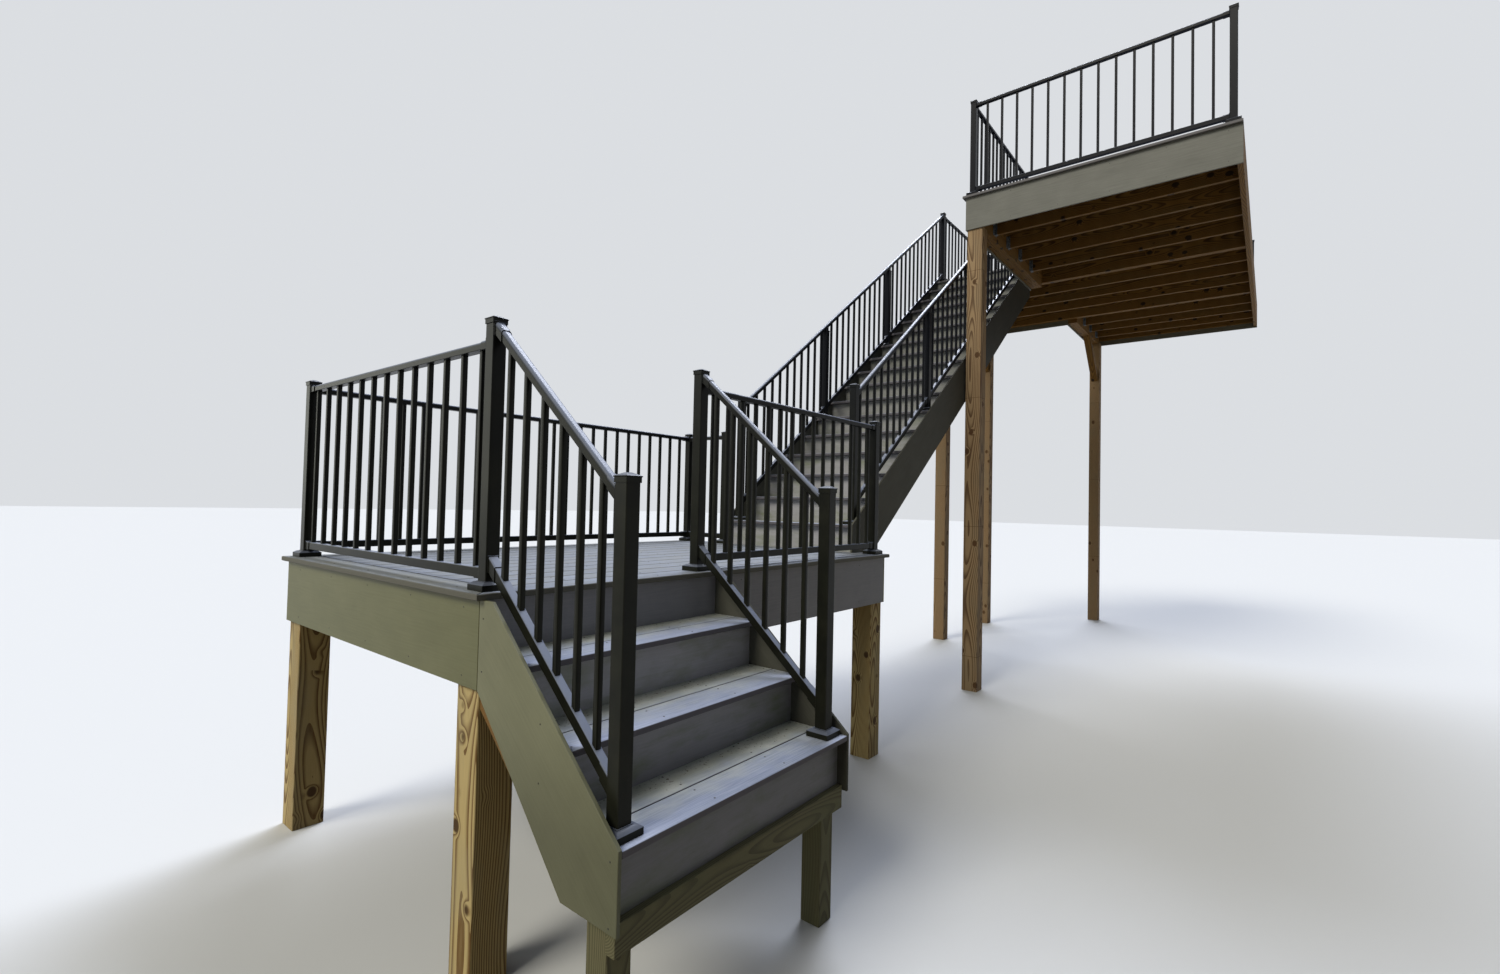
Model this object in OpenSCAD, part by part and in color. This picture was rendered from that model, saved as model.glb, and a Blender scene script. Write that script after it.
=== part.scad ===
// Wooden deck stairs: an L shaped exterior stair in timber and composite board.
// A short flight climbs to a landing, turns right and a long flight climbs to
// a raised deck on tall posts. Millimetres, Z up. The origin is the centre of
// the foot of the landing post at the front left corner, on the lowest ground.
// X is the way the long flight climbs, Y is the way the short flight climbs.

/* [What to draw] */
// one named piece, or all of them

/* [Levels] */
// ground at the lowest post up to the path at the foot of the stairs
path_h = 543; // [0:1:800]
// rise of each step of the short flight
rise_low = 203; // [180:1:210]
// number of risers of the short flight, the landing edge included
risers_low = 4; // [3:1:6]
// rise of each step of the long flight
rise_up = 193; // [175:1:205]
// number of risers of the long flight, the deck edge included
risers_up = 17; // [12:1:18]

/* [Steps] */
// depth of each step of the short flight, nosing to nosing
going_low = 236; // [220:1:300]
// depth of each step of the long flight, nosing to nosing
going_up = 257; // [240:1:300]
// clear width of the short flight between its skirt boards
width_low = 1175; // [900:1:1300]
// clear width of the long flight between its skirt boards
width_up = 1140; // [900:1:1300]
// how far a tread board reaches out over the riser below it
tread_nose = 45; // [20:1:50]
// gap between neighbouring boards
board_gap = 5; // [3:1:8]
// thickness of tread and deck boards
board_t = 22; // [20:1:30]
// width that a deck board comes near to, before the last one is fitted
board_w = 140; // [120:1:150]
// thickness of fascia, skirt and riser boards
trim_t = 14; // [12:1:20]
// front skirt board of the long flight, its inside face along Y
flight_y = 125; // [105:1:300]
// how far the long flight starts back from the right face of the landing
flight_start = 105; // [80:1:200]

/* [Landing] */
// landing frame along X, outside the fascia boards
landing_x = 2931; // [2400:1:3600]
// landing frame along Y, outside the fascia boards
landing_y = 1877; // [1500:1:2400]
// how far deck boards reach out over the fascia
deck_nose = 25; // [15:1:30]
// height of the fascia boards
fascia_h = 304; // [240:1:330]

/* [Timber] */
// side of the square timber posts
post = 140; // [120:1:160]
// side of the two small posts under the foot of the short flight
foot_post = 89; // [75:1:100]
// thickness of one joist
joist_t = 38; // [35:1:45]
// depth of the landing joists
joist_low_h = 235; // [180:1:245]
// depth of the deck joists
joist_up_h = 235; // [180:1:245]
// depth of the edge beams of the deck
beam_h = 286; // [230:1:300]
// spacing of the joists
joist_step = 406; // [300:1:500]
// thickness of one stringer
stringer_t = 38; // [35:1:45]
// number of stringers under each flight
stringers = 4; // [3:1:5]
// wood left under the notches of a stringer, measured square to the slope
stringer_throat = 125; // [90:1:160]
// length of a knee brace, along the beam and down the post
brace = 600; // [400:1:800]
// depth of a knee brace, measured plumb
brace_d = 125; // [90:1:150]

/* [Deck] */
// left face of the deck fascia, along X
deck_x0 = 4778; // [4400:1:5200]
// right face of the deck frame, along X
deck_x1 = 10250; // [9000:1:11000]
// wall side of the deck, along Y
deck_wall_y = -1990; // [-2400:1:-1500]
// right face of the part of the deck that meets the long flight
bay_x1 = 8700; // [8200:1:9200]

/* [Railings] */
// side of the square metal posts
newel = 51; // [45:1:65]
// side of the square cover round the foot of a metal post
base_w = 100; // [90:1:110]
// side of the square balusters
baluster = 19; // [16:1:22]
// spacing of the balusters in level panels along X
baluster_step = 112; // [90:1:130]
// spacing of the balusters in level panels along Y
baluster_step_y = 133; // [100:1:140]
// level spacing of the short flight's balusters
baluster_step_low = 102; // [85:1:130]
// level spacing of the long flight's balusters
baluster_step_up = 109; // [85:1:130]
// least distance from a post's face to a baluster's middle
baluster_end = 52; // [52:1:70]
// top of a level rail above its deck
rail_h = 880; // [860:1:1000]
// top of the short flight's rail above the line of the nosings, measured plumb
slope_rail_low_h = 880; // [800:1:960]
// top of the long flight's rail above the line of the nosings, measured plumb
slope_rail_up_h = 860; // [800:1:960]
// width of the top rail
rail_w = 36; // [34:1:50]
// depth of the top rail
rail_d = 30; // [26:1:40]
// radius along the two upper edges of the top rail
rail_round = 11; // [5:1:12]
// width of the bottom rail
low_rail_w = 30; // [24:1:40]
// depth of the bottom rail
low_rail_d = 36; // [24:1:40]
// gap under the bottom rail of a level panel
rail_gap = 40; // [40:1:90]
// length of the bracket sleeve at the end of a rail
sleeve = 42; // [30:1:60]
// wall of the bracket sleeve
sleeve_t = 3; // [2:0.5:4]
// top of a plain post cap above the top of its rail
cap_above = 34; // [24:1:60]
// top of a post cap above a sloped rail that ends at the post
slope_cap_above = 64; // [40:1:90]
// extra height of the landing posts where a level and a sloped rail meet
tall_extra = 49; // [0:1:90]
// posts of the landing in from the board edge, at the front and left
inset_near = 90; // [70:1:110]
// posts of the landing in from the board edge, at the right and rear
inset_far = 75; // [60:1:110]
// posts of the deck in from the board edge, at the front and rear
inset_deck = 52; // [50:1:90]
// posts of the deck in from the board edge, beside the long flight
inset_side = 84; // [60:1:110]
// right rail of the short flight in from its skirt board
inset_low = 62; // [52:1:90]
// rails of the long flight in from their skirt boards
inset_up = 50; // [50:1:90]

/* [Hidden] */

landing_h = path_h + risers_low * rise_low;
deck_h = landing_h + risers_up * rise_up;
// outside faces of the landing fascia
lx0 = -post / 2 - trim_t;
ly0 = -post / 2 - trim_t;
lx1 = lx0 + landing_x;
ly1 = ly0 + landing_y;
// short flight: inside faces of its skirts and the front of its first tread
fx0 = lx0 + trim_t;
fx1 = fx0 + width_low;
fy0 = ly0 - deck_nose - (risers_low - 1) * going_low;
// long flight: inside faces of its skirts and the front of its first tread
uy0 = flight_y;
uy1 = uy0 + width_up;
ux0 = lx1 - flight_start;
utop = ux0 + (risers_up - 1) * going_up;
// deck: side face along the long flight, and outer face of the bay
dy1 = uy0 - trim_t;
by1 = uy1 + trim_t;
bx0 = utop + deck_nose;
slope_low = atan2(rise_low, going_low);
slope_up = atan2(rise_up, going_up);
frame_top_low = landing_h - board_t;
frame_top_up = deck_h - board_t;
// plies of the edge beams of the deck and of its bay
rim_n = 3;
bay_rim_n = 2;
// clearance between timbers that are nailed side by side or end to end
timber_fit = 0.4;
// clearance under a rail that rests on a post
seat_fit = 0.3;

// plain colours
composite = "#8d9096";
trim = "#77776a";
pine = "#b79b6c";
metal = "#17181a";
steel = "#9a9c9c";

// a prism along X or Y from a polygon drawn in the Y Z or X Z plane
module prism_x(x, t, pts)
  translate([x, 0, 0]) rotate([90, 0, 90]) linear_extrude(t) polygon(pts);
module prism_y(y, t, pts)
  translate([0, y + t, 0]) rotate([90, 0, 0]) linear_extrude(t) polygon(pts);
module box(a, b) translate(a) cube([b[0] - a[0], b[1] - a[1], b[2] - a[2]]);

// boards that run along X and fill the way from y0 to y1 with a gap between them
module boards(x0, x1, y0, y1, z0, z1) {
  n = max(1, round((y1 - y0 + board_gap) / (board_w + board_gap)));
  w = (y1 - y0 - (n - 1) * board_gap) / n;
  for (i = [0:n - 1])
    box([x0, y0 + i * (w + board_gap), z0], [x1, y0 + i * (w + board_gap) + w, z1]);
}

// The short flight.
function low_z(k) = path_h + k * rise_low;
function low_y(k) = fy0 + (k - 1) * going_low;
// depth of a tread, back to the face of the next riser
tread_d = going_low + tread_nose + trim_t;
tread_up_d = going_up + tread_nose + trim_t;
// outer stringers stand in from the skirts by the thickness of a packing strip
stringer_in = 6;
// length of a stringer's seat on the ground
stringer_seat = 210;

// notched stringer profile, from the foot to the landing rim
function low_notch(k) = [
  [low_y(k) + tread_nose + trim_t, low_z(k - 1) - (k == 1 ? 0 : board_t)],
  [low_y(k) + tread_nose + trim_t, low_z(k) - board_t]];
low_profile = concat(
  [for (k = [1:risers_low - 1]) each low_notch(k)],
  [[ly0 + trim_t, low_z(risers_low - 1) - board_t],
   [ly0 + trim_t, low_z(risers_low - 1) - board_t - stringer_throat / cos(slope_low)],
   [low_y(1) + tread_nose + trim_t + stringer_seat, path_h]]);

module lower_stringers() color(pine)
  for (i = [0:stringers - 1])
    prism_x(fx0 + stringer_in + i * (width_low - 2 * stringer_in - stringer_t) / (stringers - 1),
      stringer_t, low_profile);

module lower_risers() color(trim)
  for (k = [1:risers_low - 1])
    box([fx0, low_y(k) + tread_nose, low_z(k - 1)], [fx1, low_y(k) + tread_nose + trim_t, low_z(k) - board_t]);

module lower_treads() color(composite)
  for (k = [1:risers_low - 1]) {
    back = min(tread_d, (k == risers_low - 1 ? ly0 - low_y(k) : tread_d));
    half = (back - board_gap) / 2;
    box([fx0, low_y(k), low_z(k) - board_t], [fx1, low_y(k) + half, low_z(k)]);
    box([fx0, low_y(k) + half + board_gap, low_z(k) - board_t], [fx1, low_y(k) + back, low_z(k)]);
  }

// The skirt boards reach a little below the path and their toe is cut level. Their upper edge
// starts just above the first tread and ends level under the landing's boards.
skirt_foot = 20;
skirt_toe = 245;
skirt_over = 4;
skirt_level = 76;
skirt_low = [
  [fy0, path_h - skirt_foot],
  [fy0, low_z(1) + skirt_over],
  [ly0 - skirt_level, frame_top_low],
  [ly0, frame_top_low],
  [ly0, frame_top_low - fascia_h],
  [fy0 + skirt_toe, path_h - skirt_foot]];
module lower_skirt_left() color(trim) prism_x(fx0 - trim_t, trim_t, skirt_low);
module lower_skirt_right() color(trim) prism_x(fx1, trim_t, skirt_low);

// a board under the first riser ties the feet of the stringers
kick_h = 90;
kick_y = fy0 + tread_nose + trim_t;
module kick_board() color(pine)
  box([fx0, kick_y - joist_t, path_h - kick_h], [fx1, kick_y, path_h]);

module foot_posts() color(pine)
  for (x = [fx0 + stringer_in, fx1 - stringer_in - foot_post])
    box([x, kick_y, 0], [x + foot_post, kick_y + foot_post, path_h]);

// The landing.
last_joist = 60;
module landing_frame() color(pine) {
  x0 = lx0 + trim_t;
  x1 = lx1 - trim_t;
  y0 = ly0 + trim_t;
  y1 = ly1 - trim_t;
  z0 = frame_top_low - joist_low_h;
  in0 = y0 + joist_t + timber_fit;
  in1 = y1 - joist_t - timber_fit;
  box([x0, y0, z0], [x1, y0 + joist_t, frame_top_low]);
  box([x0, y1 - joist_t, z0], [x1, y1, frame_top_low]);
  box([x0, in0, z0], [x0 + joist_t, in1, frame_top_low]);
  box([x1 - joist_t, in0, z0], [x1, in1, frame_top_low]);
  for (x = [x0 + joist_step : joist_step : x1 - 2 * joist_t - last_joist])
    box([x, in0, z0], [x + joist_t, in1, frame_top_low]);
}
// four mitred boards frame the deck boards of the landing
bx_out0 = lx0 - deck_nose;
bx_out1 = lx1 + deck_nose;
by_out0 = ly0 - deck_nose;
by_out1 = ly1 + deck_nose;
module border_board(pts) translate([0, 0, frame_top_low]) linear_extrude(board_t) polygon(pts);
mitre = timber_fit;
module landing_border() color(composite) {
  w = board_w;
  border_board([[bx_out0 + mitre, by_out0], [bx_out1 - mitre, by_out0],
    [bx_out1 - w - mitre, by_out0 + w], [bx_out0 + w + mitre, by_out0 + w]]);
  border_board([[bx_out0 + mitre, by_out1], [bx_out0 + w + mitre, by_out1 - w],
    [bx_out1 - w - mitre, by_out1 - w], [bx_out1 - mitre, by_out1]]);
  border_board([[bx_out0, by_out0 + mitre], [bx_out0 + w, by_out0 + w + mitre],
    [bx_out0 + w, by_out1 - w - mitre], [bx_out0, by_out1 - mitre]]);
  border_board([[bx_out1, by_out0 + mitre], [bx_out1, by_out1 - mitre],
    [bx_out1 - w, by_out1 - w - mitre], [bx_out1 - w, by_out0 + w + mitre]]);
}
border_in = board_w + board_gap;
module landing_decking() color(composite)
  boards(bx_out0 + border_in, bx_out1 - border_in, by_out0 + border_in, by_out1 - border_in,
    frame_top_low, landing_h);
module landing_fascia_front() color(trim)
  box([lx0 + trim_t, ly0, frame_top_low - fascia_h], [lx1 - trim_t, ly0 + trim_t, frame_top_low]);
module landing_fascia_left() color(trim)
  box([lx0, ly0, frame_top_low - fascia_h], [lx0 + trim_t, ly1, frame_top_low]);
module landing_fascia_rear() color(trim)
  box([lx0 + trim_t, ly1 - trim_t, frame_top_low - fascia_h], [lx1 - trim_t, ly1, frame_top_low]);
module landing_fascia_right() color(trim)
  box([lx1 - trim_t, ly0, frame_top_low - fascia_h], [lx1, ly1, frame_top_low]);
post_top_low = frame_top_low - joist_low_h;
module landing_leg(x, y) color(pine)
  box([x - post / 2, y - post / 2, 0], [x + post / 2, y + post / 2, post_top_low]);
px1 = lx1 - trim_t - post / 2;
py1 = ly1 - trim_t - post / 2;
module landing_post_front_left() landing_leg(0, 0);
module landing_post_front_right() landing_leg(px1, 0);
module landing_post_rear_left() landing_leg(0, py1);
module landing_post_rear_right() landing_leg(px1, py1);

// The long flight.
function up_z(k) = landing_h + k * rise_up;
function up_x(k) = ux0 + (k - 1) * going_up;
function up_notch(k) = [
  [up_x(k) + tread_nose + trim_t, up_z(k - 1) - (k == 1 ? 0 : board_t)],
  [up_x(k) + tread_nose + trim_t, up_z(k) - board_t]];
up_last = risers_up - 1;
// the stringers and skirts drop past the edge of the landing boards with this clearance
edge_fit = 2;
edge_x = lx1 + deck_nose + edge_fit;
function up_line(x) = landing_h + rise_up + (x - ux0) * rise_up / going_up;
throat_up = board_t + rise_up + stringer_throat / cos(slope_up);
up_profile = concat(
  [for (k = [1:up_last]) each up_notch(k)],
  [[bx0, up_z(up_last) - board_t],
   [bx0, up_line(bx0) - throat_up],
   [edge_x, up_line(edge_x) - throat_up],
   [edge_x, landing_h]]);
module upper_stringers() color(pine)
  for (i = [0:stringers - 1])
    prism_y(uy0 + stringer_in + i * (width_up - 2 * stringer_in - stringer_t) / (stringers - 1),
      stringer_t, up_profile);
module upper_risers() color(trim)
  for (k = [1:up_last])
    box([up_x(k) + tread_nose, uy0, up_z(k - 1)], [up_x(k) + tread_nose + trim_t, uy1, up_z(k) - board_t]);
module up_treads(a, b) color(composite)
  for (k = [a:b]) {
    back = min(tread_up_d, (k == up_last ? bx0 - up_x(k) : tread_up_d));
    half = (back - board_gap) / 2;
    box([up_x(k), uy0, up_z(k) - board_t], [up_x(k) + half, uy1, up_z(k)]);
    box([up_x(k) + half + board_gap, uy0, up_z(k) - board_t], [up_x(k) + back, uy1, up_z(k)]);
  }
mid_tread = floor(up_last / 2);
module upper_treads_low() up_treads(1, mid_tread);
module upper_treads_high() up_treads(mid_tread + 1, up_last);
// lower edge of a skirt under the line of the nosings, measured plumb
skirt_up_drop = 425;
skirt_up = [
  [ux0, landing_h],
  [ux0, up_z(1)],
  [ux0 + (frame_top_up - up_z(1)) * going_up / rise_up, frame_top_up],
  [bx0, frame_top_up],
  [bx0, up_line(bx0) - skirt_up_drop],
  [edge_x, up_line(edge_x) - skirt_up_drop],
  [edge_x, landing_h]];
module upper_skirt_left() color(trim) prism_y(uy1, trim_t, skirt_up);
module upper_skirt_right() color(trim) prism_y(uy0 - trim_t, trim_t, skirt_up);

// The deck.
function plies(n) = n * joist_t + (n - 1) * timber_fit;
rim_t = plies(rim_n);
bay_rim_t = plies(bay_rim_n);
beam_z = frame_top_up - beam_h;
rim_y1 = dy1 - trim_t;
rim_y0 = rim_y1 - rim_t;
bay_y1 = by1 - trim_t;
bay_y0 = bay_y1 - bay_rim_t;
// doubled joists carry the ends of the edge beams beside the bay
bay_in0 = bx0 + trim_t;
bay_in1 = bay_x1 - trim_t;
module beam(n, x0, x1, y0)
  for (i = [0:n - 1])
    box([x0, y0 + i * (joist_t + timber_fit), beam_z],
      [x1, y0 + i * (joist_t + timber_fit) + joist_t, frame_top_up]);
module deck_beams() color(pine) {
  beam(rim_n, deck_x0 + trim_t, bay_in0, rim_y0);
  beam(bay_rim_n, bay_in0, bay_in1, bay_y0);
  beam(rim_n, bay_in1, deck_x1 - trim_t, rim_y0);
}
module deck_ledger() color(pine)
  box([deck_x0 + trim_t, deck_wall_y, beam_z], [deck_x1 - trim_t, deck_wall_y + joist_t, frame_top_up]);
joist_y0 = deck_wall_y + joist_t;
module joist(x, y1)
  box([x, joist_y0, frame_top_up - joist_up_h], [x + joist_t, y1, frame_top_up]);
// no joist comes nearer than this to the end of its run
end_bay = 250;
// joists in hangers left of the bay, in the bay and right of it
run_left = [deck_x0 + trim_t + joist_step : joist_step : bay_in0 - end_bay];
run_bay = [bay_in0 + joist_t + joist_step : joist_step : bay_in1 - end_bay];
run_right = [bay_in1 + joist_step : joist_step : deck_x1 - end_bay];
module deck_joists() color(pine) {
  joist(deck_x0 + trim_t, rim_y0);
  for (x = run_left) joist(x, rim_y0);
  for (x = run_right) joist(x, rim_y0);
  joist(deck_x1 - trim_t - joist_t, rim_y0);
}
module bay_joists() color(pine) {
  joist(bay_in0, bay_y0);
  joist(bay_in0 + joist_t, bay_y0);
  for (x = run_bay) joist(x, bay_y0);
  joist(bay_in1 - joist_t, bay_y0);
  joist(bay_in1 - 2 * joist_t, bay_y0);
}
// a sheet metal U under the joist end, with an ear each side against the beam
hanger_h = 120;
hanger_d = 30;
sheet = 2;
ear = 30;
hanger_z = frame_top_up - joist_up_h;
module hanger(x, y) {
  box([x - sheet, y - hanger_d, hanger_z - sheet], [x + joist_t + sheet, y, hanger_z]);
  for (s = [x - sheet, x + joist_t])
    box([s, y - hanger_d, hanger_z - sheet], [s + sheet, y, hanger_z + hanger_h]);
  box([x - sheet - ear, y - sheet, hanger_z - sheet], [x, y, hanger_z + hanger_h]);
  box([x + joist_t, y - sheet, hanger_z - sheet], [x + joist_t + sheet + ear, y, hanger_z + hanger_h]);
}
module joist_hangers() color(steel) {
  for (x = run_left) hanger(x, rim_y0);
  for (x = run_bay) hanger(x, bay_y0);
  for (x = run_right) hanger(x, rim_y0);
}
module deck_decking() color(composite)
  boards(deck_x0 - deck_nose, deck_x1 + deck_nose, deck_wall_y, dy1 + deck_nose, frame_top_up, deck_h);
module bay_decking() color(composite)
  boards(bx0 - deck_nose, bay_x1 + deck_nose, dy1 + deck_nose + board_gap, by1 + deck_nose,
    frame_top_up, deck_h);
fz0 = frame_top_up - fascia_h;
module deck_fascia_front() color(trim)
  box([deck_x0, deck_wall_y, fz0], [deck_x0 + trim_t, dy1, frame_top_up]);
module deck_fascia_stair() color(trim)
  box([deck_x0 + trim_t, dy1 - trim_t, fz0], [bx0, dy1, frame_top_up]);
module deck_fascia_bay() color(trim) {
  box([bx0, dy1 - trim_t, fz0], [bx0 + trim_t, by1, frame_top_up]);
  box([bx0, by1 - trim_t, fz0], [bay_x1, by1, frame_top_up]);
  box([bay_x1 - trim_t, dy1 - trim_t, fz0], [bay_x1, by1, frame_top_up]);
}
module deck_fascia_rear() color(trim) {
  box([bay_x1, dy1 - trim_t, fz0], [deck_x1, dy1, frame_top_up]);
  box([deck_x1 - trim_t, deck_wall_y, fz0], [deck_x1, dy1, frame_top_up]);
}
module tall_leg(x, y) color(pine)
  box([x - post / 2, y - post / 2, 0], [x + post / 2, y + post / 2, beam_z]);
dpx0 = deck_x0 + trim_t + post / 2;
dpy = rim_y1 - post / 2;
bpx0 = bay_in0 + post / 2;
bpx1 = bay_in1 - post / 2;
bpy = bay_y1 - post / 2;
dpx1 = deck_x1 - trim_t - post / 2;
module deck_post_front() tall_leg(dpx0, dpy);
module deck_post_stair() tall_leg(bpx0, bpy);
module deck_post_bay() tall_leg(bpx1, bpy);
module deck_post_rear() tall_leg(dpx1, dpy);
// mitred at both ends, from the post up to the underside of the beam
module knee(x, y, s) color(pine)
  translate([x, y, beam_z]) mirror([s < 0 ? 1 : 0, 0, 0])
    translate([0, foot_post / 2, 0]) rotate([90, 0, 0]) linear_extrude(foot_post)
      polygon([[0, -brace], [0, -brace + brace_d], [brace - brace_d, 0], [brace, 0]]);
module knee_braces() {
  knee(dpx1 - post / 2, dpy, -1);
  knee(bpx1 - post / 2, bpy, -1);
}

// The railings. A cap is a low pyramid on a brim over a skirt that slips on the post.
cap_skirt = 3;
cap_brim = 5;
cap_peak = 9;
brim_h = 4;
skirt_h = 16;
// a sloped top starts in from the edge of the block below it by this much
ease = 1;
module square_cone(h, side1, side2)
  rotate([0, 0, 45]) cylinder(h = h, r1 = side1 / sqrt(2), r2 = side2 / sqrt(2), $fn = 4);
module block(side, z0, z1) box([-side / 2, -side / 2, z0], [side / 2, side / 2, z1]);
module cap(h) {
  brim_z = h - cap_peak - brim_h;
  block(newel + 2 * cap_skirt, brim_z - skirt_h, brim_z);
  block(newel + 2 * cap_brim, brim_z, brim_z + brim_h);
  translate([0, 0, h - cap_peak]) square_cone(cap_peak, newel + 2 * cap_brim - 2 * ease, newel / 3);
}
// the cover round the foot has plumb sides, a sloped shoulder and a collar at the post
cover_h = 22;
shoulder_h = 8;
collar_h = 32;
collar_over = 4;
collar_w = newel + 2 * collar_over;
shoulder_over = 6;
module cover() {
  block(base_w, 0, cover_h);
  translate([0, 0, cover_h]) square_cone(shoulder_h, base_w - 2 * ease, collar_w + 2 * shoulder_over);
  block(collar_w, 0, collar_h);
}
module metal_post(x, y, z, h) color(metal) translate([x, y, z]) {
  block(newel, 0, h - cap_peak - brim_h);
  cap(h);
  cover();
}
// A post under a rail that passes over it: a flat top plate and a wedge saddle.
plate_t = 6;
saddle_w = rail_w - 6;
module under_post(x, y, z, seat, slope) color(metal) translate([x, y, z]) {
  half = newel / 2;
  k = tan(slope);
  top = seat - (half + cap_skirt) * k - seat_fit;
  block(newel, 0, top);
  block(newel + 2 * cap_skirt, top - plate_t, top);
  prism_y(-saddle_w / 2, saddle_w, [[-half, top - plate_t], [half, top - plate_t],
    [half, seat + half * k - seat_fit], [-half, seat - half * k - seat_fit]]);
  cover();
}

// lines of the posts
rlx = bx_out0 + inset_near;
rrx = fx1 - inset_low;
nay = by_out0 + inset_near;
nrx = bx_out1 - inset_far;
nry = by_out1 - inset_far;
ury = uy0 + inset_up;
uly = uy1 - inset_up;
// the bottom posts of the short flight back from its first nosing
low_post_in = 77;
nby = fy0 + low_post_in;
// posts of the long flight back from their nosings
first_post_in = 110;
next_post_in = 75;
head_post_in = 53;
// landing post beside the long flight, out from its skirt board
side_post_out = 52;
plain_h = rail_h + cap_above;
tall_h = plain_h + tall_extra;
low_newel_h = rise_low * low_post_in / going_low + slope_rail_low_h + slope_cap_above;
module stair_newels() {
  metal_post(rlx, nby, low_z(1), low_newel_h);
  metal_post(rrx, nby, low_z(1), low_newel_h);
}
module landing_newels() {
  metal_post(rlx, nay, landing_h, tall_h);
  metal_post(rrx, nay, landing_h, tall_h);
  metal_post(rlx, nry, landing_h, plain_h);
  metal_post(nrx, nry, landing_h, plain_h);
  metal_post(nrx, nay, landing_h, plain_h);
  metal_post(nrx, by1 + side_post_out, landing_h, plain_h);
}

// a bar along X with rounded upper edges, its top at z 0
module loaf(len, w, d, r) {
  box([0, -w / 2, -d], [len, w / 2, -r]);
  box([0, -w / 2 + r, -d], [len, w / 2 - r, 0]);
  for (s = [-1, 1])
    translate([0, s * (w / 2 - r), -r]) rotate([0, 90, 0]) cylinder(h = len, r = r, $fn = 32);
}
// the same bar on a slope, cut plumb at both ends
module sloped(len, w, d, r, a) {
  over = d + w;
  intersection() {
    rotate([0, -a, 0]) translate([-over, 0, 0]) loaf(len / cos(a) + 2 * over, w, d, r);
    box([0, -w, -d / cos(a) - over], [len, w, len * tan(a) + over]);
  }
}
low_round = 3;
// a sleeve over each end of a bar, with a plate against the post
back_plate = 4;
back_over = 6;
module sleeves(len, w, d, r, a) {
  t = sleeve_t;
  k = tan(a);
  plumb = d / cos(a);
  for (x = [0, len - sleeve])
    translate([x, 0, x * k + t / cos(a)]) sloped(sleeve, w + 2 * t, d + 2 * t, r + t, a);
  for (x = [0, len - back_plate])
    box([x, -w / 2 - back_over, x * k - plumb - back_over], [x + back_plate, w / 2 + back_over, x * k + back_over]);
}
// the barrel of a swivel bracket shows above and below the sleeve of a sloped rail
module barrels(len, w, d, a) {
  r = d / 2 + sleeve_t;
  side = w / 2 - ease;
  for (x = [r + ease, len - r - ease])
    translate([x, side, x * tan(a) - d / cos(a) / 2])
      rotate([90, 0, 0]) cylinder(h = 2 * side, r = r, $fn = 32);
}
// balusters between two rails at a set step, with equal ends, foot and head let into the rails
let_in = 10;
module balusters(len, z0, z1, k, step) {
  n = max(1, floor((len - 2 * baluster_end) / step) + 1);
  first = (len - (n - 1) * step) / 2;
  b = baluster / 2;
  for (i = [0:n - 1]) {
    x = first + i * step;
    box([x - b, -b, z0 - let_in + x * k], [x + b, b, z1 + let_in + x * k]);
  }
}
// a level panel along X, from post face to post face
module level_panel(len, step) {
  bottom = rail_gap + low_rail_d;
  translate([0, 0, bottom]) {
    sloped(len, low_rail_w, low_rail_d, low_round, 0);
    sleeves(len, low_rail_w, low_rail_d, low_round, 0);
  }
  translate([0, 0, rail_h]) {
    sloped(len, rail_w, rail_d, rail_round, 0);
    sleeves(len, rail_w, rail_d, rail_round, 0);
  }
  balusters(len, bottom, rail_h - rail_d, 0, step);
}
module panel_x(x0, x1, y, z) color(metal)
  translate([x0 + newel / 2, y, z]) level_panel(x1 - x0 - newel, baluster_step);
module panel_y(y0, y1, x, z) color(metal)
  translate([x, y0 + newel / 2, z]) rotate([0, 0, 90]) level_panel(y1 - y0 - newel, baluster_step_y);

// bottom rail and balusters of a sloped panel, z measured from the nosing line at x 0
module sloped_infill(len, a, gap, top, step) {
  foot = gap + low_rail_d / cos(a);
  translate([0, 0, foot]) {
    sloped(len, low_rail_w, low_rail_d, low_round, a);
    sleeves(len, low_rail_w, low_rail_d, low_round, a);
  }
  balusters(len, foot, top - rail_d / cos(a), tan(a), step);
}
module sloped_top(len, a, top)
  translate([0, 0, top]) {
    sloped(len, rail_w, rail_d, rail_round, a);
    sleeves(len, rail_w, rail_d, rail_round, a);
    barrels(len, rail_w, rail_d, a);
  }
// gaps under the bottom rails of the flights, measured plumb from the nosing line
gap_low = 14;
gap_up = 35;
function low_line(y) = low_z(1) + (y - fy0) * rise_low / going_low;
module low_panel(x) color(metal) {
  y0 = nby + newel / 2;
  len = nay - nby - newel;
  translate([x, y0, low_line(y0)]) rotate([0, 0, 90]) {
    sloped_infill(len, slope_low, gap_low, slope_rail_low_h, baluster_step_low);
    sloped_top(len, slope_low, slope_rail_low_h);
  }
}
module lower_rail_left() low_panel(rlx);
module lower_rail_right() low_panel(rrx);
module landing_rail_left() panel_y(nay, nry, rlx, landing_h);
module landing_rail_rear() panel_x(rlx, nrx, nry, landing_h);
module landing_rail_front() panel_x(rrx, nrx, nay, landing_h);
module landing_rail_right() panel_y(by1 + side_post_out, nry, nrx, landing_h);

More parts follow.
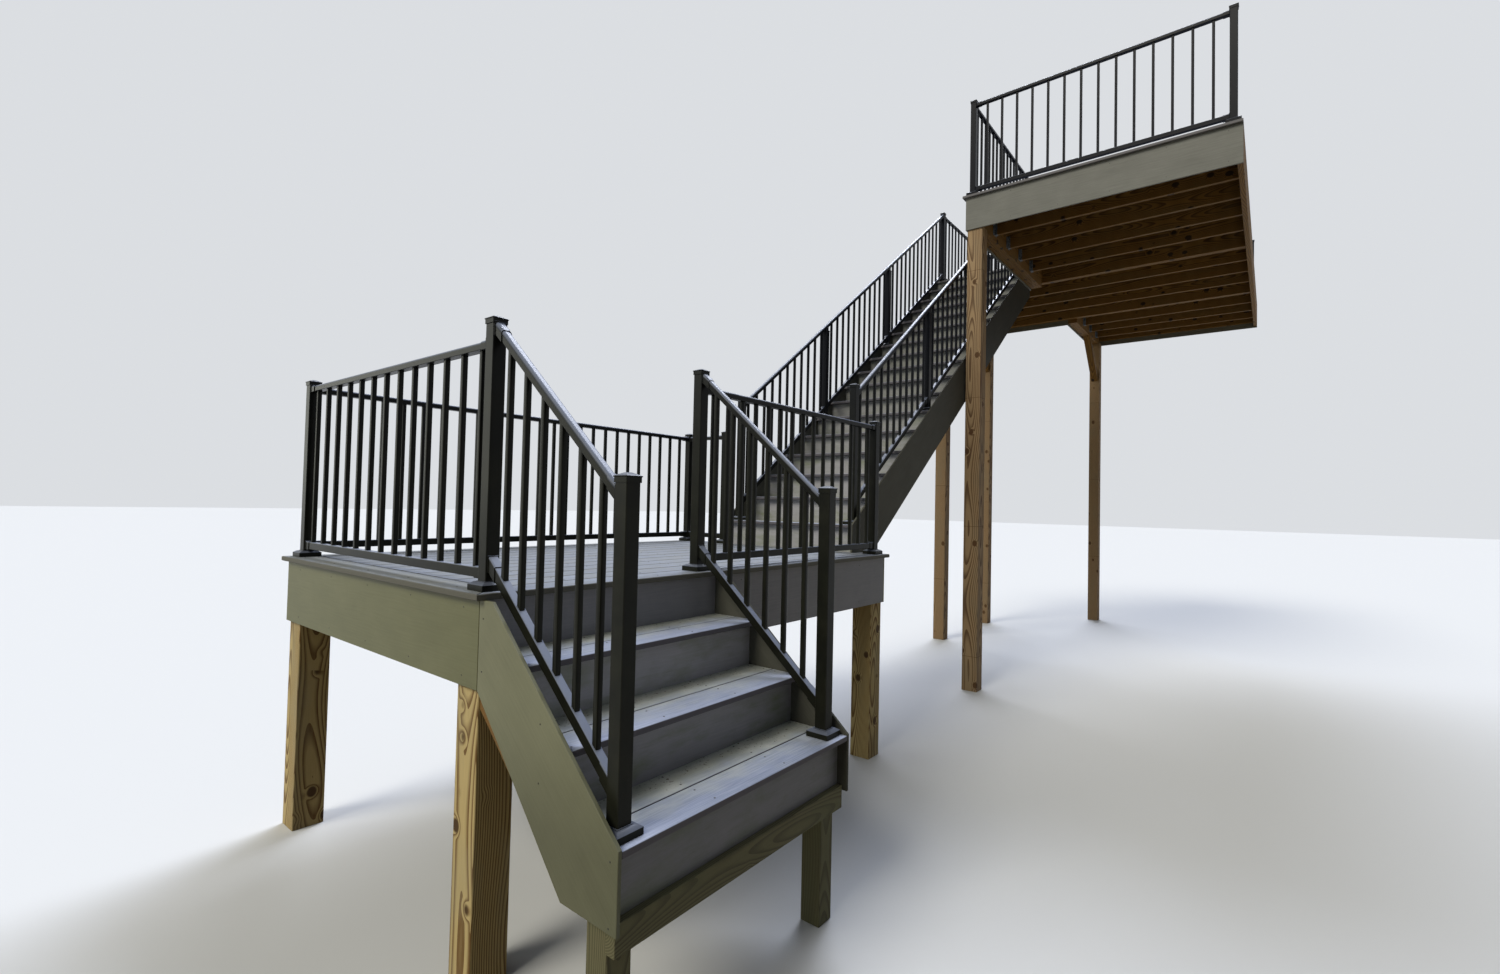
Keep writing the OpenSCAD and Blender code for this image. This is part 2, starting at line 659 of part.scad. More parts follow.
// The long flight's top rails run from the first post to the one on the deck, over the two between.
mid_step = [round(up_last * 0.37), round(up_last * 0.69)];
up_newel_x = [up_x(1) + first_post_in, up_x(mid_step[0]) + next_post_in,
  up_x(mid_step[1]) + next_post_in, utop + head_post_in];
first_h = rise_up * first_post_in / going_up + slope_rail_up_h + slope_cap_above;
module up_newels(y) {
  metal_post(up_newel_x[0], y, up_z(1), first_h);
  for (i = [0, 1])
    under_post(up_newel_x[i + 1], y, up_z(mid_step[i]),
      up_line(up_newel_x[i + 1]) - up_z(mid_step[i]) + slope_rail_up_h - rail_d / cos(slope_up), slope_up);
  metal_post(up_newel_x[3], y, deck_h, plain_h);
}
module upper_newels_left() up_newels(uly);
module upper_newels_right() up_newels(ury);
module up_rail(y) color(metal) {
  start = up_newel_x[0] + newel / 2;
  translate([start, y, up_line(start)])
    sloped_top(up_newel_x[3] - up_newel_x[0] - newel, slope_up, slope_rail_up_h);
  for (i = [0:2]) {
    x0 = up_newel_x[i] + newel / 2;
    translate([x0, y, up_line(x0)])
      sloped_infill(up_newel_x[i + 1] - up_newel_x[i] - newel, slope_up, gap_up, slope_rail_up_h,
        baluster_step_up);
  }
}
module upper_rail_left() up_rail(uly);
module upper_rail_right() up_rail(ury);

// Railings of the deck. The post at the head of the stair stands clear of the stair's own.
dnx0 = deck_x0 - deck_nose + inset_deck;
dny = dy1 + deck_nose - inset_side;
dnx1 = deck_x1 + deck_nose - inset_deck;
bnx1 = bay_x1 + deck_nose - inset_deck;
wall_post_in = 60;
dwy = deck_wall_y + wall_post_in;
newel_gap = 20;
stair_end_x = up_newel_x[3] - base_w - newel_gap;
module deck_newels() {
  metal_post(stair_end_x, dny, deck_h, plain_h);
  metal_post(dnx0, dny, deck_h, plain_h);
  metal_post(dnx0, dwy, deck_h, plain_h);
  metal_post(bnx1, uly, deck_h, plain_h);
  metal_post(bnx1, dny, deck_h, plain_h);
  metal_post(dnx1, dny, deck_h, plain_h);
  metal_post(dnx1, dwy, deck_h, plain_h);
}
module deck_rail_front() panel_y(dwy, dny, dnx0, deck_h);
module deck_rail_stair() panel_x(dnx0, stair_end_x, dny, deck_h);
module deck_rail_bay() {
  panel_x(up_newel_x[3], bnx1, uly, deck_h);
  panel_y(dny, uly, bnx1, deck_h);
}
module deck_rail_rear() {
  panel_x(bnx1, dnx1, dny, deck_h);
  panel_y(dwy, dny, dnx1, deck_h);
}

lower_stringers();
lower_risers();
lower_treads();
lower_skirt_left();
lower_skirt_right();
kick_board();
foot_posts();
landing_frame();
landing_decking();
landing_border();
landing_fascia_front();
landing_fascia_left();
landing_fascia_rear();
landing_fascia_right();
landing_post_front_left();
landing_post_front_right();
landing_post_rear_left();
landing_post_rear_right();
upper_stringers();
upper_risers();
upper_treads_low();
upper_treads_high();
upper_skirt_left();
upper_skirt_right();
deck_beams();
deck_ledger();
deck_joists();
bay_joists();
joist_hangers();
deck_decking();
bay_decking();
deck_fascia_front();
deck_fascia_stair();
deck_fascia_bay();
deck_fascia_rear();
deck_post_front();
deck_post_stair();
deck_post_bay();
deck_post_rear();
knee_braces();
stair_newels();
landing_newels();
upper_newels_left();
upper_newels_right();
deck_newels();
lower_rail_left();
lower_rail_right();
landing_rail_left();
landing_rail_rear();
landing_rail_front();
landing_rail_right();
upper_rail_left();
upper_rail_right();
deck_rail_front();
deck_rail_stair();
deck_rail_bay();
deck_rail_rear();
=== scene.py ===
"""Wooden deck stairs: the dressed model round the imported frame.

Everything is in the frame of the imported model: X is the way the long flight climbs,
Y the way the short flight climbs, Z up, and the foot of the front left landing post
is the origin. Sizes below are in millimetres and turn to metres when a mesh is made.
Boards, posts, rails and screws are all bars: a section carried along a straight line,
worked out as whole arrays with numpy.
"""
import math

import bpy
import numpy as np
from mathutils import Matrix


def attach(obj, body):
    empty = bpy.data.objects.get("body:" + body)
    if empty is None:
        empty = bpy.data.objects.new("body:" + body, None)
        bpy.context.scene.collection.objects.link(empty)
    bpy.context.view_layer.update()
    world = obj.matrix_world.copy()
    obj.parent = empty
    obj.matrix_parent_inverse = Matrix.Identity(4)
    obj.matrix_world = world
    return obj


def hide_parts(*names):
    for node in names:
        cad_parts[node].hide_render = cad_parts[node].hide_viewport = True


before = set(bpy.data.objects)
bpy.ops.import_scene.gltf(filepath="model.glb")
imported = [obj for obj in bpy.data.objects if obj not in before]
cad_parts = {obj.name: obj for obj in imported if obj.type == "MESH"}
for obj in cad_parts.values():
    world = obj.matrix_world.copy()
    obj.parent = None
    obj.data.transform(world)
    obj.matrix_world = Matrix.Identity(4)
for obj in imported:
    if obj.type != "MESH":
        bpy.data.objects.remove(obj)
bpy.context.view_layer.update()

MM = 0.001
rng = np.random.default_rng(11)

# Sizes and places as the solids have them: heights of the landing, of the deck and of
# the foot of the short flight, and the rise and depth of a step on each flight.
LANDING, DECK, FOOT = 1355.0, 4636.0, 543.0
RISE_LOW, GOING_LOW, RISE_UP, GOING_UP = 203.0, 236.0, 193.0, 257.0
# Edges of the landing's boards, of the short flight and of the long flight.
EDGE_X0, EDGE_Y0, EDGE_X1, EDGE_Y1 = -109.0, -109.0, 2872.0, 1818.0
LOW_X0, LOW_X1, LOW_Y0 = -70.0, 1105.0, -817.0
UP_Y0, UP_Y1, UP_X0, UP_END = 125.0, 1265.0, 2742.0, 6854.0
# Edges of the deck's frame.
DECK_X0, DECK_X1, BAY_X1, DECK_WALL, DECK_Y1 = 4778.0, 10250.0, 8700.0, -1990.0, 111.0
# Trim and boards are this thick, a fascia this deep, a joist this thick, a post this wide.
TRIM, BOARD, FASCIA, JOIST, POST = 14.0, 22.0, 304.0, 38.0, 140.0
# A board's width, the gap between two boards, and how far they stand out over a frame.
BOARD_W, BOARD_GAP, OVERHANG = 140.0, 5.0, 25.0
# Left and front faces of the landing's fascia boards.
FACE = -POST / 2 - TRIM
# Depth of a beam and of a stringer under its notches, and the reach, depth and thickness
# of a knee brace.
BEAM, THROAT, BRACE, BRACE_DEPTH, BRACE_T = 286.0, 125.0, 600.0, 125.0, 89.0
# Widths of a metal post and of a baluster, the least distance from a panel's end to the
# middle of a baluster, and how far balusters run into the rails.
NEWEL, BALUSTER, BALUSTER_END, BALUSTER_IN = 51.0, 19.0, 52.0, 8.0
# Level spacing of the balusters by the axis that a panel runs along and whether it slopes.
BALUSTER_STEP = {(0, False): 112.0, (1, False): 133.0, (1, True): 102.0, (0, True): 109.0}
# Width, depth and corner radius of a top rail and of a bottom rail.
RAIL_W, RAIL_D, RAIL_ROUND, LOW_W, LOW_D, LOW_ROUND = 36.0, 30.0, 11.0, 30.0, 36.0, 3.0
# Tops of the level, the short flight's and the long flight's rails, and the gap below.
RAIL_H, RAIL_H_LOW, RAIL_H_UP, GAP = 880.0, 880.0, 860.0, 40.0
# Length and wall of a bracket's sleeve, thickness of its flange and how far it stands out.
SLEEVE, SLEEVE_WALL, FLANGE, FLANGE_LIP = 42.0, 3.0, 4.0, 6.0


def linear(hex_colour):
    """An sRGB hex colour as linear RGBA: each channel is undone by the sRGB curve."""
    srgb = np.array([int(hex_colour[i:i + 2], 16) for i in (1, 3, 5)]) / 255
    lin = np.where(srgb <= 0.04045, srgb / 12.92, ((srgb + 0.055) / 1.055) ** 2.4)
    return (*lin.tolist(), 1.0)


# Meshes.

def loft(rings, grain=None, dust=None):
    """Closed bars from rings of shape (bars, rings, points, 3): each point joins its
    neighbour and the same point of the next ring, and the two end rings are filled.
    A bar whose sum of a . (b x c) over its triangles, six times its signed volume, is
    negative has its faces turned round."""
    n, r, p = rings.shape[:3]
    start = (np.arange(n) * r * p)[:, None, None]
    row = np.arange(r - 1)[:, None] * p
    a = start + row + np.arange(p)
    b = start + row + np.roll(np.arange(p), -1)
    sides = np.stack([a, b, b + p, a + p], -1).reshape(n, -1, 4)
    first = start[:, :, 0] + np.arange(p)[::-1]
    last = start[:, :, 0] + (r - 1) * p + np.arange(p)
    caps = np.stack([first, last], 1)
    co = rings.reshape(-1, 3).astype(float)
    off = co - np.repeat(co.reshape(n, -1, 3).mean(1), r * p, 0)
    fans = [[sides[..., i] for i in three] for three in ((0, 1, 2), (0, 2, 3))]
    fans += [[np.repeat(cap[:, :1], p - 2, 1), cap[:, 1:-1], cap[:, 2:]] for cap in (first, last)]
    volume = sum(np.einsum("nfi,nfi->n", off[i], np.cross(off[j], off[k])) for i, j, k in fans)
    inside_out = volume < 0
    sides[inside_out] = sides[inside_out][..., ::-1]
    caps[inside_out] = caps[inside_out][..., ::-1]
    grain = co * MM if grain is None else grain.reshape(-1, 3)
    dust = np.zeros(len(co)) if dust is None else dust.reshape(-1)
    return {"co": co, "sides": sides.reshape(-1, 4), "caps": caps.reshape(-1, p),
            "grain": grain, "dust": dust}


def placed(name, data, matrix=np.eye(4)):
    """A new object with this data in the scene, turned and moved by the matrix."""
    obj = bpy.data.objects.new(name, data)
    obj.matrix_world = Matrix(matrix.tolist())
    bpy.context.scene.collection.objects.link(obj)
    return obj


def piece(name, lofts, material, nodes=(), smooth=None):
    """One object from several lofts: their arrays are joined and written in one go.
    The grain attribute is the place on the timber along, across and through it, in
    metres; dust runs from 0 to 1 where dirt gathers, and on the landing it also carries painted shade."""
    mesh = bpy.data.meshes.new(name)
    shift = np.cumsum([0] + [len(part["co"]) for part in lofts[:-1]])
    co = np.concatenate([part["co"] for part in lofts]) * MM
    loops = [(part[kind] + move) for part, move in zip(lofts, shift) for kind in ("sides", "caps")]
    sizes = np.concatenate([np.full(len(faces), faces.shape[1]) for faces in loops])
    corners = np.concatenate([faces.ravel() for faces in loops])
    mesh.vertices.add(len(co))
    mesh.vertices.foreach_set("co", co.ravel())
    mesh.loops.add(len(corners))
    mesh.loops.foreach_set("vertex_index", corners)
    mesh.polygons.add(len(sizes))
    mesh.polygons.foreach_set("loop_start", np.cumsum(sizes) - sizes)
    for key, kind, field in (("grain", "FLOAT_VECTOR", "vector"), ("dust", "FLOAT", "value")):
        values = np.concatenate([part[key] for part in lofts])
        mesh.attributes.new(key, kind, "POINT").data.foreach_set(field, values.ravel())
    mesh.update(calc_edges=True)
    mesh.validate()
    if smooth:
        mesh.shade_smooth()
        mesh.set_sharp_from_angle(angle=math.radians(smooth))
    else:
        mesh.shade_flat()
    mesh.materials.append(material)
    obj = placed(name, mesh)
    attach(obj, "root")
    if nodes:
        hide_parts(*nodes)


def section(width, depth, top, bottom, steps=2, flat=0.0):
    """Outline of a bar's section, its width across and its depth down from 0. Each
    corner is a quarter circle, centre + radius (cos, sin), of the radius for the top or
    the bottom. With flat, a point is added that far along the flat on both sides of a
    corner, so that smooth shading stays level between corners."""
    width = np.asarray(width, float)[..., None, None]
    depth = np.asarray(depth, float)[..., None, None]
    quarter = np.arange(4)[:, None] * math.pi / 2
    angle = quarter + np.linspace(0, math.pi / 2, steps + 1)
    radius = np.array([top, top, bottom, bottom])[:, None]
    east = np.array([1, -1, -1, 1])[:, None]
    low = np.array([0, 0, 1, 1])[:, None]
    centre_v = east * (width / 2 - radius)
    centre_w = -radius * (1 - low) + low * (radius - depth)
    v, w = centre_v + radius * np.cos(angle), centre_w + radius * np.sin(angle)
    if flat:
        c, s = flat * np.cos(quarter), flat * np.sin(quarter)
        v = np.concatenate([v[..., :1] + s, v, v[..., -1:] - c], -1)
        w = np.concatenate([w[..., :1] - c, w, w[..., -1:] - s], -1)
    return np.stack([v, w], -1).reshape(*v.shape[:-2], -1, 2)


def timbers(*nodes):
    """Boxes of the separate solids of CAD nodes, shape (solids, 2, 3), in millimetres:
    corners at one place are one corner, and each triangle passes on the lowest label
    among its corners until no label changes."""
    found = []
    for node in nodes:
        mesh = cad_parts[node].data
        co = np.empty(len(mesh.vertices) * 3)
        mesh.vertices.foreach_get("co", co)
        tri = np.empty(len(mesh.loops), dtype=int)
        mesh.loops.foreach_get("vertex_index", tri)
        hundredths = np.round(co.reshape(-1, 3) * 1e5).astype(int)
        place, index = np.unique(hundredths, axis=0, return_inverse=True)
        tri = index.ravel()[tri].reshape(-1, 3)
        label, lower = None, np.arange(len(place))
        while not np.array_equal(label, lower):
            label, lower = lower, lower.copy()
            np.minimum.at(lower, tri.ravel(), np.repeat(label[tri].min(1), 3))
        _, solid = np.unique(label, return_inverse=True)
        box = np.full((solid.max() + 1, 2, 3), np.inf) * [[1], [-1]]
        np.minimum.at(box[:, 0], solid, place / 100)
        np.maximum.at(box[:, 1], solid, place / 100)
        found.append(box)
    return np.concatenate(found)


def bars(boxes, ease=3.0, end=1.5, steps=2, axis=None, dust=None, pith=(0.0, 0.0)):
    """Timbers with eased edges that fill the boxes: the section, with quarter rounds of
    radius ease, is carried along the longest side, and its end rings are drawn in by
    the end radius. Timbers are grouped by the side that is the longest. The pith is
    where the middle of the log lies, across and through, from the timber's middle."""
    size = boxes[:, 1] - boxes[:, 0]
    longest = np.full(len(boxes), axis) if axis is not None else size.argmax(1)
    made = []
    for along in np.unique(longest):
        box = boxes[longest == along]
        n, extent = len(box), size[longest == along]
        across, through = (along + 1) % 3, (along + 2) % 3
        thin = (extent[:, through] <= extent[:, across])[:, None, None]
        draw = np.array([end, 0, 0, end])
        width = extent[:, across][:, None] - 2 * draw
        depth = extent[:, through][:, None] - 2 * draw
        ring = section(width, depth, ease, ease, steps)
        ring[..., 1] += (depth / 2)[..., None]
        s = np.stack([np.zeros(n), np.full(n, end), extent[:, along] - end, extent[:, along]], 1)
        co = np.empty((n, 4, ring.shape[2], 3))
        middle = box.mean(1)
        co[..., along] = box[:, 0, along][:, None, None] + s[..., None]
        co[..., across] = middle[:, across][:, None, None] + ring[..., 0]
        co[..., through] = middle[:, through][:, None, None] + ring[..., 1]
        length = np.broadcast_to(s[..., None], ring.shape[:-1])
        wide = np.where(thin, ring[..., 0], ring[..., 1])
        deep = np.where(thin, ring[..., 1], ring[..., 0])
        grain = np.stack([length, wide - pith[0], deep - pith[1]], -1) * MM
        grain[..., 0] += rng.uniform(0, 40, n)[:, None, None]
        made.append(loft(co, grain, None if dust is None else dust(box, co)))
    return made


def cut_board(outline, axis, at, thick, tilt=0.0, ease=1.5, dust=0.0):
    """A board cut to an outline in the plane square to the axis: the outline is drawn in
    by ease on both faces. A corner moves by ease (a + b) / (1 + a . b), where a and b
    are the inward normals of its two edges. The grain runs at the tilt."""
    outline = np.array(outline, float)
    following = np.roll(outline, -1, 0)
    ahead, back = following - outline, outline - np.roll(outline, 1, 0)
    turn = np.sign(np.sum(outline[:, 0] * following[:, 1] - outline[:, 1] * following[:, 0]))
    normal = [np.stack([-e[:, 1], e[:, 0]], 1) / np.linalg.norm(e, axis=1)[:, None] * turn
              for e in (back, ahead)]
    lean = 1 + np.sum(normal[0] * normal[1], 1)
    inner = outline + ease * (normal[0] + normal[1]) / lean[:, None]
    flat = np.stack([inner, outline, outline, inner])
    depth = np.array([0, ease, thick - ease, thick]) + at
    u, v = [i for i in range(3) if i != axis]
    co = np.empty((1, 4, len(outline), 3))
    co[0, ..., u], co[0, ..., v] = flat[..., 0], flat[..., 1]
    co[0, ..., axis] = depth[:, None]
    c, s = math.cos(tilt), math.sin(tilt)
    grain = np.stack([flat[..., 0] * c + flat[..., 1] * s, flat[..., 1] * c - flat[..., 0] * s,
                      np.broadcast_to(depth[:, None] - at - thick / 2, flat.shape[:2])], -1)[None] * MM
    grain[..., 0] += rng.uniform(0, 40)
    grain[..., 1] -= grain[..., 1].mean()
    return loft(co, grain, np.full(co.shape[:3], dust))


def measured(start, stop):
    """Two points as arrays, the run from one to the other and its level length."""
    start, stop = np.array(start, float), np.array(stop, float)
    run = stop - start
    return start, stop, run, np.hypot(run[0], run[1])


def rail(start, stop, ring):
    """A bar between two points, cut plumb at both ends: its section's height is divided
    by the cosine of the slope, and it is carried from one point to the other."""
    start, stop, run, level = measured(start, stop)
    side = np.array([-run[1], run[0], 0]) / level
    up = np.array([0, 0, np.hypot(level, run[2]) / level])
    across = ring[:, :1] * side + ring[:, 1:] * up
    return loft(np.stack([start + across, stop + across])[None])


def rail_with_sleeves(start, stop, width, depth, top, barrel=False):
    """A rail with a bracket sleeve and a flange over each end and, with barrel, a swivel
    that shows above and below the sleeve: a circle in the rail's plane, carried across."""
    start, stop, run, level = measured(start, stop)
    step = run / level
    cosine = level / np.linalg.norm(run)
    plumb = np.array([0, 0, 1 / cosine])
    made = [rail(start, stop, section(width, depth, top, 2.0, 4, 0.6))]
    wider, deeper = width + 2 * SLEEVE_WALL, depth + 2 * SLEEVE_WALL
    for begin in (start, stop - step * SLEEVE):
        lifted = begin + SLEEVE_WALL * plumb
        made.append(rail(lifted, lifted + step * SLEEVE, section(wider, deeper, top + 2, 3.0, 4, 0.6)))
    for begin in (start, stop - step * FLANGE):
        half = np.where(np.abs(step) > 0.5, FLANGE / 2, width / 2 + FLANGE_LIP)
        half[2] = depth / 2 / cosine + FLANGE_LIP
        centre = begin + step * FLANGE / 2 - depth / 2 * plumb
        made += bars(np.stack([centre - half, centre + half])[None], 1.5, 0.8, axis=2)
    if barrel:
        radius = depth / 2 + SLEEVE_WALL
        angle = np.linspace(0, 2 * math.pi, 20, endpoint=False)
        side = np.array([-step[1], step[0], 0])
        circle = (np.cos(angle)[:, None] * np.array([step[0], step[1], 0])
                  + np.sin(angle)[:, None] * np.array([0, 0, 1.0]))
        reach = width / 2 - 1
        profile = ((-reach, 1.5), (1.5 - reach, 0), (reach - 1.5, 0), (reach, 1.5))
        for along in (radius + 1, level - radius - 1):
            centre = start + step * along - depth / 2 * plumb
            rings = [centre + side * out + (radius - draw) * circle for out, draw in profile]
            made.append(loft(np.stack(rings)[None]))
    return made


def balusters(start, stop, foot, head):
    """Square balusters at a set step between two rails, with equal ends: the i-th stands
    (level - (n - 1) step) / 2 + i step along, from the foot to the head, both measured
    plumb from the line."""
    start, stop, run, level = measured(start, stop)
    step = BALUSTER_STEP[int(abs(run[1]) > abs(run[0])), bool(abs(run[2]) > 1)]
    count = max(1, int((level - 2 * BALUSTER_END) // step) + 1)
    along = (level - (count - 1) * step) / 2 + np.arange(count) * step
    line = start + (along / level)[:, None] * run
    half = np.array([BALUSTER / 2, BALUSTER / 2, BALUSTER_IN])
    boxes = np.stack([line - half + [0, 0, foot], line + half + [0, 0, head]], 1)
    return bars(boxes, 1.6, 0.5, axis=2)


def infill(start, stop, top, foot):
    """Bottom rail and balusters between two posts. The points are on the floor or on the
    line of the nosings; top and foot are the heights of the two rails' tops."""
    start, stop, run, level = measured(start, stop)
    head = top - RAIL_D * np.linalg.norm(run) / level
    return (rail_with_sleeves(start + [0, 0, foot], stop + [0, 0, foot], LOW_W, LOW_D, LOW_ROUND)
            + balusters(start, stop, foot, head))


def rail_panel(start, stop, top, foot):
    """The infill and a top rail over it, which has swivel brackets where it slopes."""
    start, stop, run, _ = measured(start, stop)
    return infill(start, stop, top, foot) + rail_with_sleeves(
        start + [0, 0, top], stop + [0, 0, top], RAIL_W, RAIL_D, RAIL_ROUND, abs(run[2]) > 1)


# Rings of a metal post, each a side, a corner radius and a height: the cover and collar
# from the floor, and from the top down a cap, or a plate where a rail passes over.
COVER = [(100, 2, 0), (100, 2, 21), (98, 2, 22), (73, 3, 29.6), (71, 3, 30), (59, 3, 30), (59, 3, 31.4),
         (58, 3, 32), (NEWEL, 3, 32)]
CAP = [(NEWEL, 3, -29), (57, 3, -29), (57, 3, -13.5), (59.5, 3, -13), (61, 3, -12.2), (61, 3, -9.8),
       (59.5, 2.6, -9), (17, 2, 0)]
PLATE = [(NEWEL, 3, -6), (57, 3, -6), (57, 3, -1), (55.5, 3, 0)]


def metal_posts(x, y, z, heights, top=CAP):
    """Square posts as rounded square rings stacked up: a cover with plumb sides and a
    sloped shoulder, a collar, the shaft, and a cap with a skirt, a brim and a low
    pyramid, or a flat plate."""
    x, y, z, heights = np.broadcast_arrays(*[np.asarray(a, float) for a in (x, y, z, heights)])
    rings = []
    for part, base in ((COVER, z), (top, z + heights)):
        for side, radius, height in part:
            ring = section(side, side, radius, radius, 3, 0.5) + [0, side / 2]
            level = np.repeat((base + height)[:, None], len(ring), 1)
            rings.append(np.stack([x[:, None] + ring[:, 0], y[:, None] + ring[:, 1], level], -1))
    return loft(np.stack(rings, 1))


def screw_heads(points, facing, radius):
    """Round heads that stand 0.9 mm out of a face: a circle just inside the face, one at
    the rim and a smaller one on top, all square to the way that the face looks."""
    axis, way = abs(facing) - 1, math.copysign(1, facing)
    angle = np.linspace(0, 2 * math.pi, 10, endpoint=False)
    rings = np.zeros((len(points), 3, len(angle), 3))
    for i, (size, out) in enumerate(((1.0, -0.4), (1.0, 0.5), (0.7, 0.9))):
        rings[:, i] = points[:, None, :]
        rings[:, i, :, (axis + 1) % 3] += radius * size * np.cos(angle)
        rings[:, i, :, (axis + 2) % 3] += radius * size * np.sin(angle)
        rings[:, i, :, axis] += out * way
    return loft(rings)


def grid(*values):
    """Every combination of the values along X, Y and Z, as points."""
    return np.stack(np.meshgrid(*[np.atleast_1d(v) for v in values], indexing="ij"), -1).reshape(-1, 3)


# Materials.

def add(tree, kind, ins=None, **settings):
    """Adds a node, sets its settings, and sets or links its inputs by name or number."""
    made = tree.nodes.new("ShaderNode" + kind)
    for key, value in settings.items():
        setattr(made, key, value)
    for key, value in (ins or {}).items():
        if isinstance(value, bpy.types.NodeSocket):
            tree.links.new(value, made.inputs[key])
        else:
            made.inputs[key].default_value = value
    return made


def finish(name, roughness, **sockets):
    """A new material with its node tree and its shader, whose constant values are set
    on the shader's own sockets."""
    material = bpy.data.materials.new(name)
    material.use_nodes = True
    tree = material.node_tree
    shader = tree.nodes["Principled BSDF"]
    shader.inputs["Roughness"].default_value = roughness
    for key, value in sockets.items():
        shader.inputs[key.replace("_", " ")].default_value = value
    return material, tree, shader


def ramp(tree, factor, places, colours):
    """A ramp of hex colours, each at its place from 0 to 1."""
    made = add(tree, "ValToRGB", {"Fac": factor})
    while len(made.color_ramp.elements) < len(places):
        made.color_ramp.elements.new(0.5)
    for element, place, colour in zip(made.color_ramp.elements, places, colours):
        element.position = place
        element.color = linear(colour)
    return made.outputs["Color"]


def maths(tree, operation, *values):
    """One sum, product or other step on two or three numbers or sockets."""
    return add(tree, "Math", dict(enumerate(values)), operation=operation).outputs[0]


def vectors(tree, operation, *values):
    """The same on vectors, each a socket or three numbers."""
    return add(tree, "VectorMath", dict(enumerate(values)), operation=operation).outputs


def stretched(tree, source, scale):
    """A place multiplied along each of its three axes."""
    return vectors(tree, "MULTIPLY", source, scale)[0]


def noise(tree, place, cells, detail=3.0, rough=0.55):
    """Noise from 0 to 1, of about so many cells a metre along each axis of the place."""
    return add(tree, "TexNoise", {"Vector": stretched(tree, place, cells), "Scale": 1.0,
                                  "Detail": detail, "Roughness": rough}).outputs["Fac"]


def ranged(tree, value, start, stop, most=1.0, least=0.0, curve="LINEAR"):
    """From the least where the value is at the start to the most where it is at the stop."""
    return add(tree, "MapRange", {"Value": value, "From Min": start, "From Max": stop,
                                  "To Min": least, "To Max": most},
               interpolation_type=curve).outputs[0]


def parts_of(tree, vector):
    """The X, Y and Z of a vector."""
    return add(tree, "SeparateXYZ", {0: vector}).outputs


def attribute(tree, name):
    """What piece wrote on the mesh under this name."""
    return add(tree, "Attribute", attribute_name=name).outputs


def object_place(tree):
    """The place on the object, in metres, with Z as the height."""
    return add(tree, "TexCoord").outputs["Object"]


def mix(tree, factor, a, b, blend="MIX"):
    """The first colour at 0 and the second at 1, each a socket or a hex colour."""
    made = add(tree, "Mix", {0: factor}, data_type="RGBA", blend_type=blend, clamp_factor=True)
    for index, value in ((6, a), (7, b)):
        if isinstance(value, bpy.types.NodeSocket):
            tree.links.new(value, made.inputs[index])
        else:
            made.inputs[index].default_value = linear(value)
    return made.outputs[2]


def coat(tree, shader, colour, height, strength, distance):
    """Links a colour and a bump to the shader."""
    bump = add(tree, "Bump", {"Height": height, "Strength": strength, "Distance": distance})
    tree.links.new(colour, shader.inputs["Base Color"])
    tree.links.new(bump.outputs[0], shader.inputs["Normal"])


def composite_board(name, clean, grime, side, lip=0.0098, edge_dirt_and_shade=0.0):
    """Capped wood composite, extruded and brushed: cool grey with fine streaks 2 to 6 mm
    wide along the board, paler and darker boards, a duller tone on the cut-in sides,
    partly the uncapped core and partly painted shade beside the top, and tan dust towards
    the risers. Clean and grime are each a dark, a middle and a light tone, and the side's
    tone ends at the lip, a height above the board's middle. The last argument is the share
    of a dark tone in the last 6 mm along both long edges: partly dirt, partly painted
    shade of the gaps between boards."""
    material, tree, shader = finish(name, 0.68, IOR=1.46, Specular_IOR_Level=0.3)
    place = attribute(tree, "grain")["Vector"]
    streaks = noise(tree, place, (7, 260, 260), 4.0, 0.6)
    broad = noise(tree, place, (1.3, 14, 14), 2.0)
    patches = noise(tree, place, (7, 11, 11), 4.0, 0.6)
    colour = ramp(tree, streaks, (0.3, 0.5, 0.7), clean)
    colour = mix(tree, 0.35, colour, ramp(tree, broad, (0.25, 0.75), clean[::2]))
    grimy = ramp(tree, patches, (0.35, 0.52, 0.7), grime)
    grimy = mix(tree, 0.35, grimy, ramp(tree, streaks, (0.3, 0.7), grime[::2]))
    soiled = maths(tree, "SUBTRACT", patches, 0.5)
    soiled = maths(tree, "MULTIPLY_ADD", soiled, 0.9, attribute(tree, "dust")["Fac"])
    soiled = ranged(tree, soiled, 0.1, 0.75)
    colour = mix(tree, soiled, colour, grimy)
    crumbs = maths(tree, "MULTIPLY", noise(tree, place, (85, 85, 85), 2.0), soiled)
    colour = mix(tree, ranged(tree, crumbs, 0.62, 0.68), colour, "#4b3d2c")
    on_section = parts_of(tree, place)
    off_middle = maths(tree, "ABSOLUTE", on_section["Y"])
    # Dirt and painted shade: a dark tone in the last 6 mm along both long edges, where the gaps between
    # boards fall.
    colour = mix(tree, ranged(tree, off_middle, 0.063, 0.068, edge_dirt_and_shade), colour, "#3f3e3a")
    # Partly painted shade: the cut-in sides take the duller side tone below the lip.
    colour = mix(tree, ranged(tree, on_section["Z"], lip, lip + 0.0011), side, colour)
    coat(tree, shader, colour, streaks, 0.25, 0.0012)
    return material


